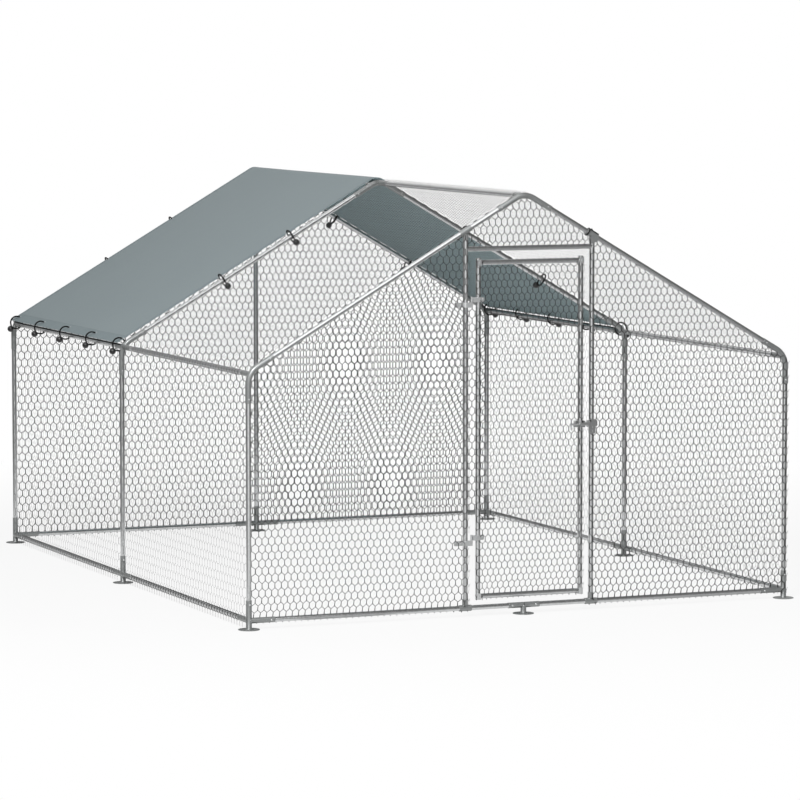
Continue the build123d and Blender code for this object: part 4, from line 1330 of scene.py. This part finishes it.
sleeve_screws += [screw(front(x, HEADER_Z), -ALONG, TUBE_R) for x in POST_X.values()]
corners = [front(x, z) for x in STILE_X.values() for z in (DOOR_TOP, DOOR_FOOT)]
door_screws = [screw(corner, -ALONG, TUBE_R + 0.0046) for corner in corners]
screw_unit = Shape()
profile = [(-0.0006, 0), (-0.0006, 0.0044), (0.0009, 0.0044), (0.0020, 0.0034), (0.0021, 0)]
screw_unit.turned(Vector(), UP, profile, ACROSS, 10)
repeated("sleeve_screws", screw_unit, sleeve_screws, SCREW_STEEL)
repeated("door_screws", screw_unit, door_screws, SCREW_STEEL, body="door")
# Bright plates under the door's corner screws: painted highlight, standing in for the highlights where the
# stiles meet the rails
painted_highlight_plates = Shape()
outline = rounded((-0.011, -0.016), (0.011, 0.016), 0.003)
for spot, _ in door_screws:
    painted_highlight_plates.plate(outline, spot + ALONG * 0.0026, ACROSS, UP, 0.0052)
piece("door_corner_plates", painted_highlight_plates, SCREW_STEEL, body="door")


# Studio: pale floor, soft light, white background
def pale_floor(far=40.0):
    corners = [(-far, -far, 0), (far, -far, 0), (far, far, 0), (-far, far, 0)]
    mesh = plain_mesh("floor", corners, [(0, 1, 2, 3)])
    floor = placed("floor", mesh)
    floor.location.z = -0.0006
    f = Finish("pale floor", Roughness=0.9, Specular_IOR_Level=0.0)
    f.feed(Base_Color=f.mix(f.noise(f.place, 1.5, 3.0), grey(0.78), grey(0.82)))
    x, y, _ = f.split(f.place)
    away = f.ramp((x * x + y * y) ** 0.5 / 20.0, [(0.13, 0.86), (0.30, 1.0)])
    white = f.node("ShaderNodeEmission", None, {"Color": grey(1), "Strength": 1.0})
    both = f.node("ShaderNodeMixShader", None, {0: f.seen() * away, 1: Link(f, f.shader), 2: white})
    f.links.new(both.socket, f.nodes["Material Output"].inputs["Surface"])
    mesh.materials.append(f.material)


def card(name, tone, angles, rows):
    """Flag or bright card round the studio, seen only in the metal's gloss: rows of radius and height."""
    turns = [(cos(radians(a)), sin(radians(a))) for a in angles]
    count = len(turns)
    starts = [i * count + k for i in range(len(rows) - 1) for k in range(count - 1)]
    faces = [(n, n + 1, n + count + 1, n + count) for n in starts]
    mesh = plain_mesh(name, [(r * c, r * d, z) for r, z in rows for c, d in turns], faces)
    made = placed(name, mesh)
    finish = Finish(name, Base_Color=grey(0), Emission_Color=grey(1), Emission_Strength=tone)
    mesh.materials.append(finish.material)
    made.visible_camera = made.visible_diffuse = made.visible_transmission = made.visible_shadow = False


def lamp(name, place, aim, size, power):
    light = bpy.data.lights.new(name, "AREA")
    light.shape, light.size, light.energy = "SQUARE", size, power
    made = placed(name, light)
    made.location = place
    made.rotation_euler = (Vector(aim) - Vector(place)).to_track_quat("-Z", "Y").to_euler()
    return made


def studio():
    pale_floor()
    wall = [(3.4, 0.004), (7.0, 0.02), (7.0, 3.0)]
    card("flag_right", 0.13, range(-48, 93, 4), wall)
    card("grey_card_behind", 0.42, range(92, 137, 4), [(7.0, 0.02), (7.0, 4.6)])
    card("flag_left", 0.13, range(136, 185, 4), wall)
    card("flag_front_left", 0.28, range(184, 225, 4), wall)
    card("flag_front_right", 0.25, range(-88, -47, 4), wall)
    card("grey_card_before", 0.50, range(-122, -49, 4), [(2.0, 0.003), (3.4, 0.003)])
    card("flag_high", 0.08, range(-78, 51, 4), [(7.0, 2.4), (7.0, 10.0), (4.5, 14.0), (1.5, 16.0)])
    card("bright_card", 1.8, range(236, 282, 5), [(7.0, 3.9), (6.0, 7.0), (4.0, 8.5), (2.4, 9.2)])

    world = bpy.data.worlds.new("studio")
    bpy.context.scene.world = world
    world.use_nodes = True
    w = Tree(world.node_tree)
    back = w.nodes["Background"]
    back.inputs["Color"].default_value = grey(1)
    w.links.new((0.40 + w.seen() * 0.60).socket, back.inputs["Strength"])

    lamp("key from the left", (-6.0, -8.5, 8.5), (0, 0, 0.8), 4.0, 1050.0)
    fill = lamp("fill from the right", (9.0, -7.0, 5.0), (0, 0, 0.8), 5.0, 300.0)
    fill.visible_glossy = False

    camera = bpy.data.cameras.new("camera")
    camera.lens, camera.sensor_width = 186.9, 36.0
    camera.clip_end = 200.0
    seat = placed("camera", camera)
    seat.location = (-8.467, -20.373, 2.878)
    seat.rotation_euler = (pi / 2 - 0.0891, 0, -0.3988)
    bpy.context.scene.camera = seat
    bpy.context.scene.view_settings.view_transform = "Standard"


studio()
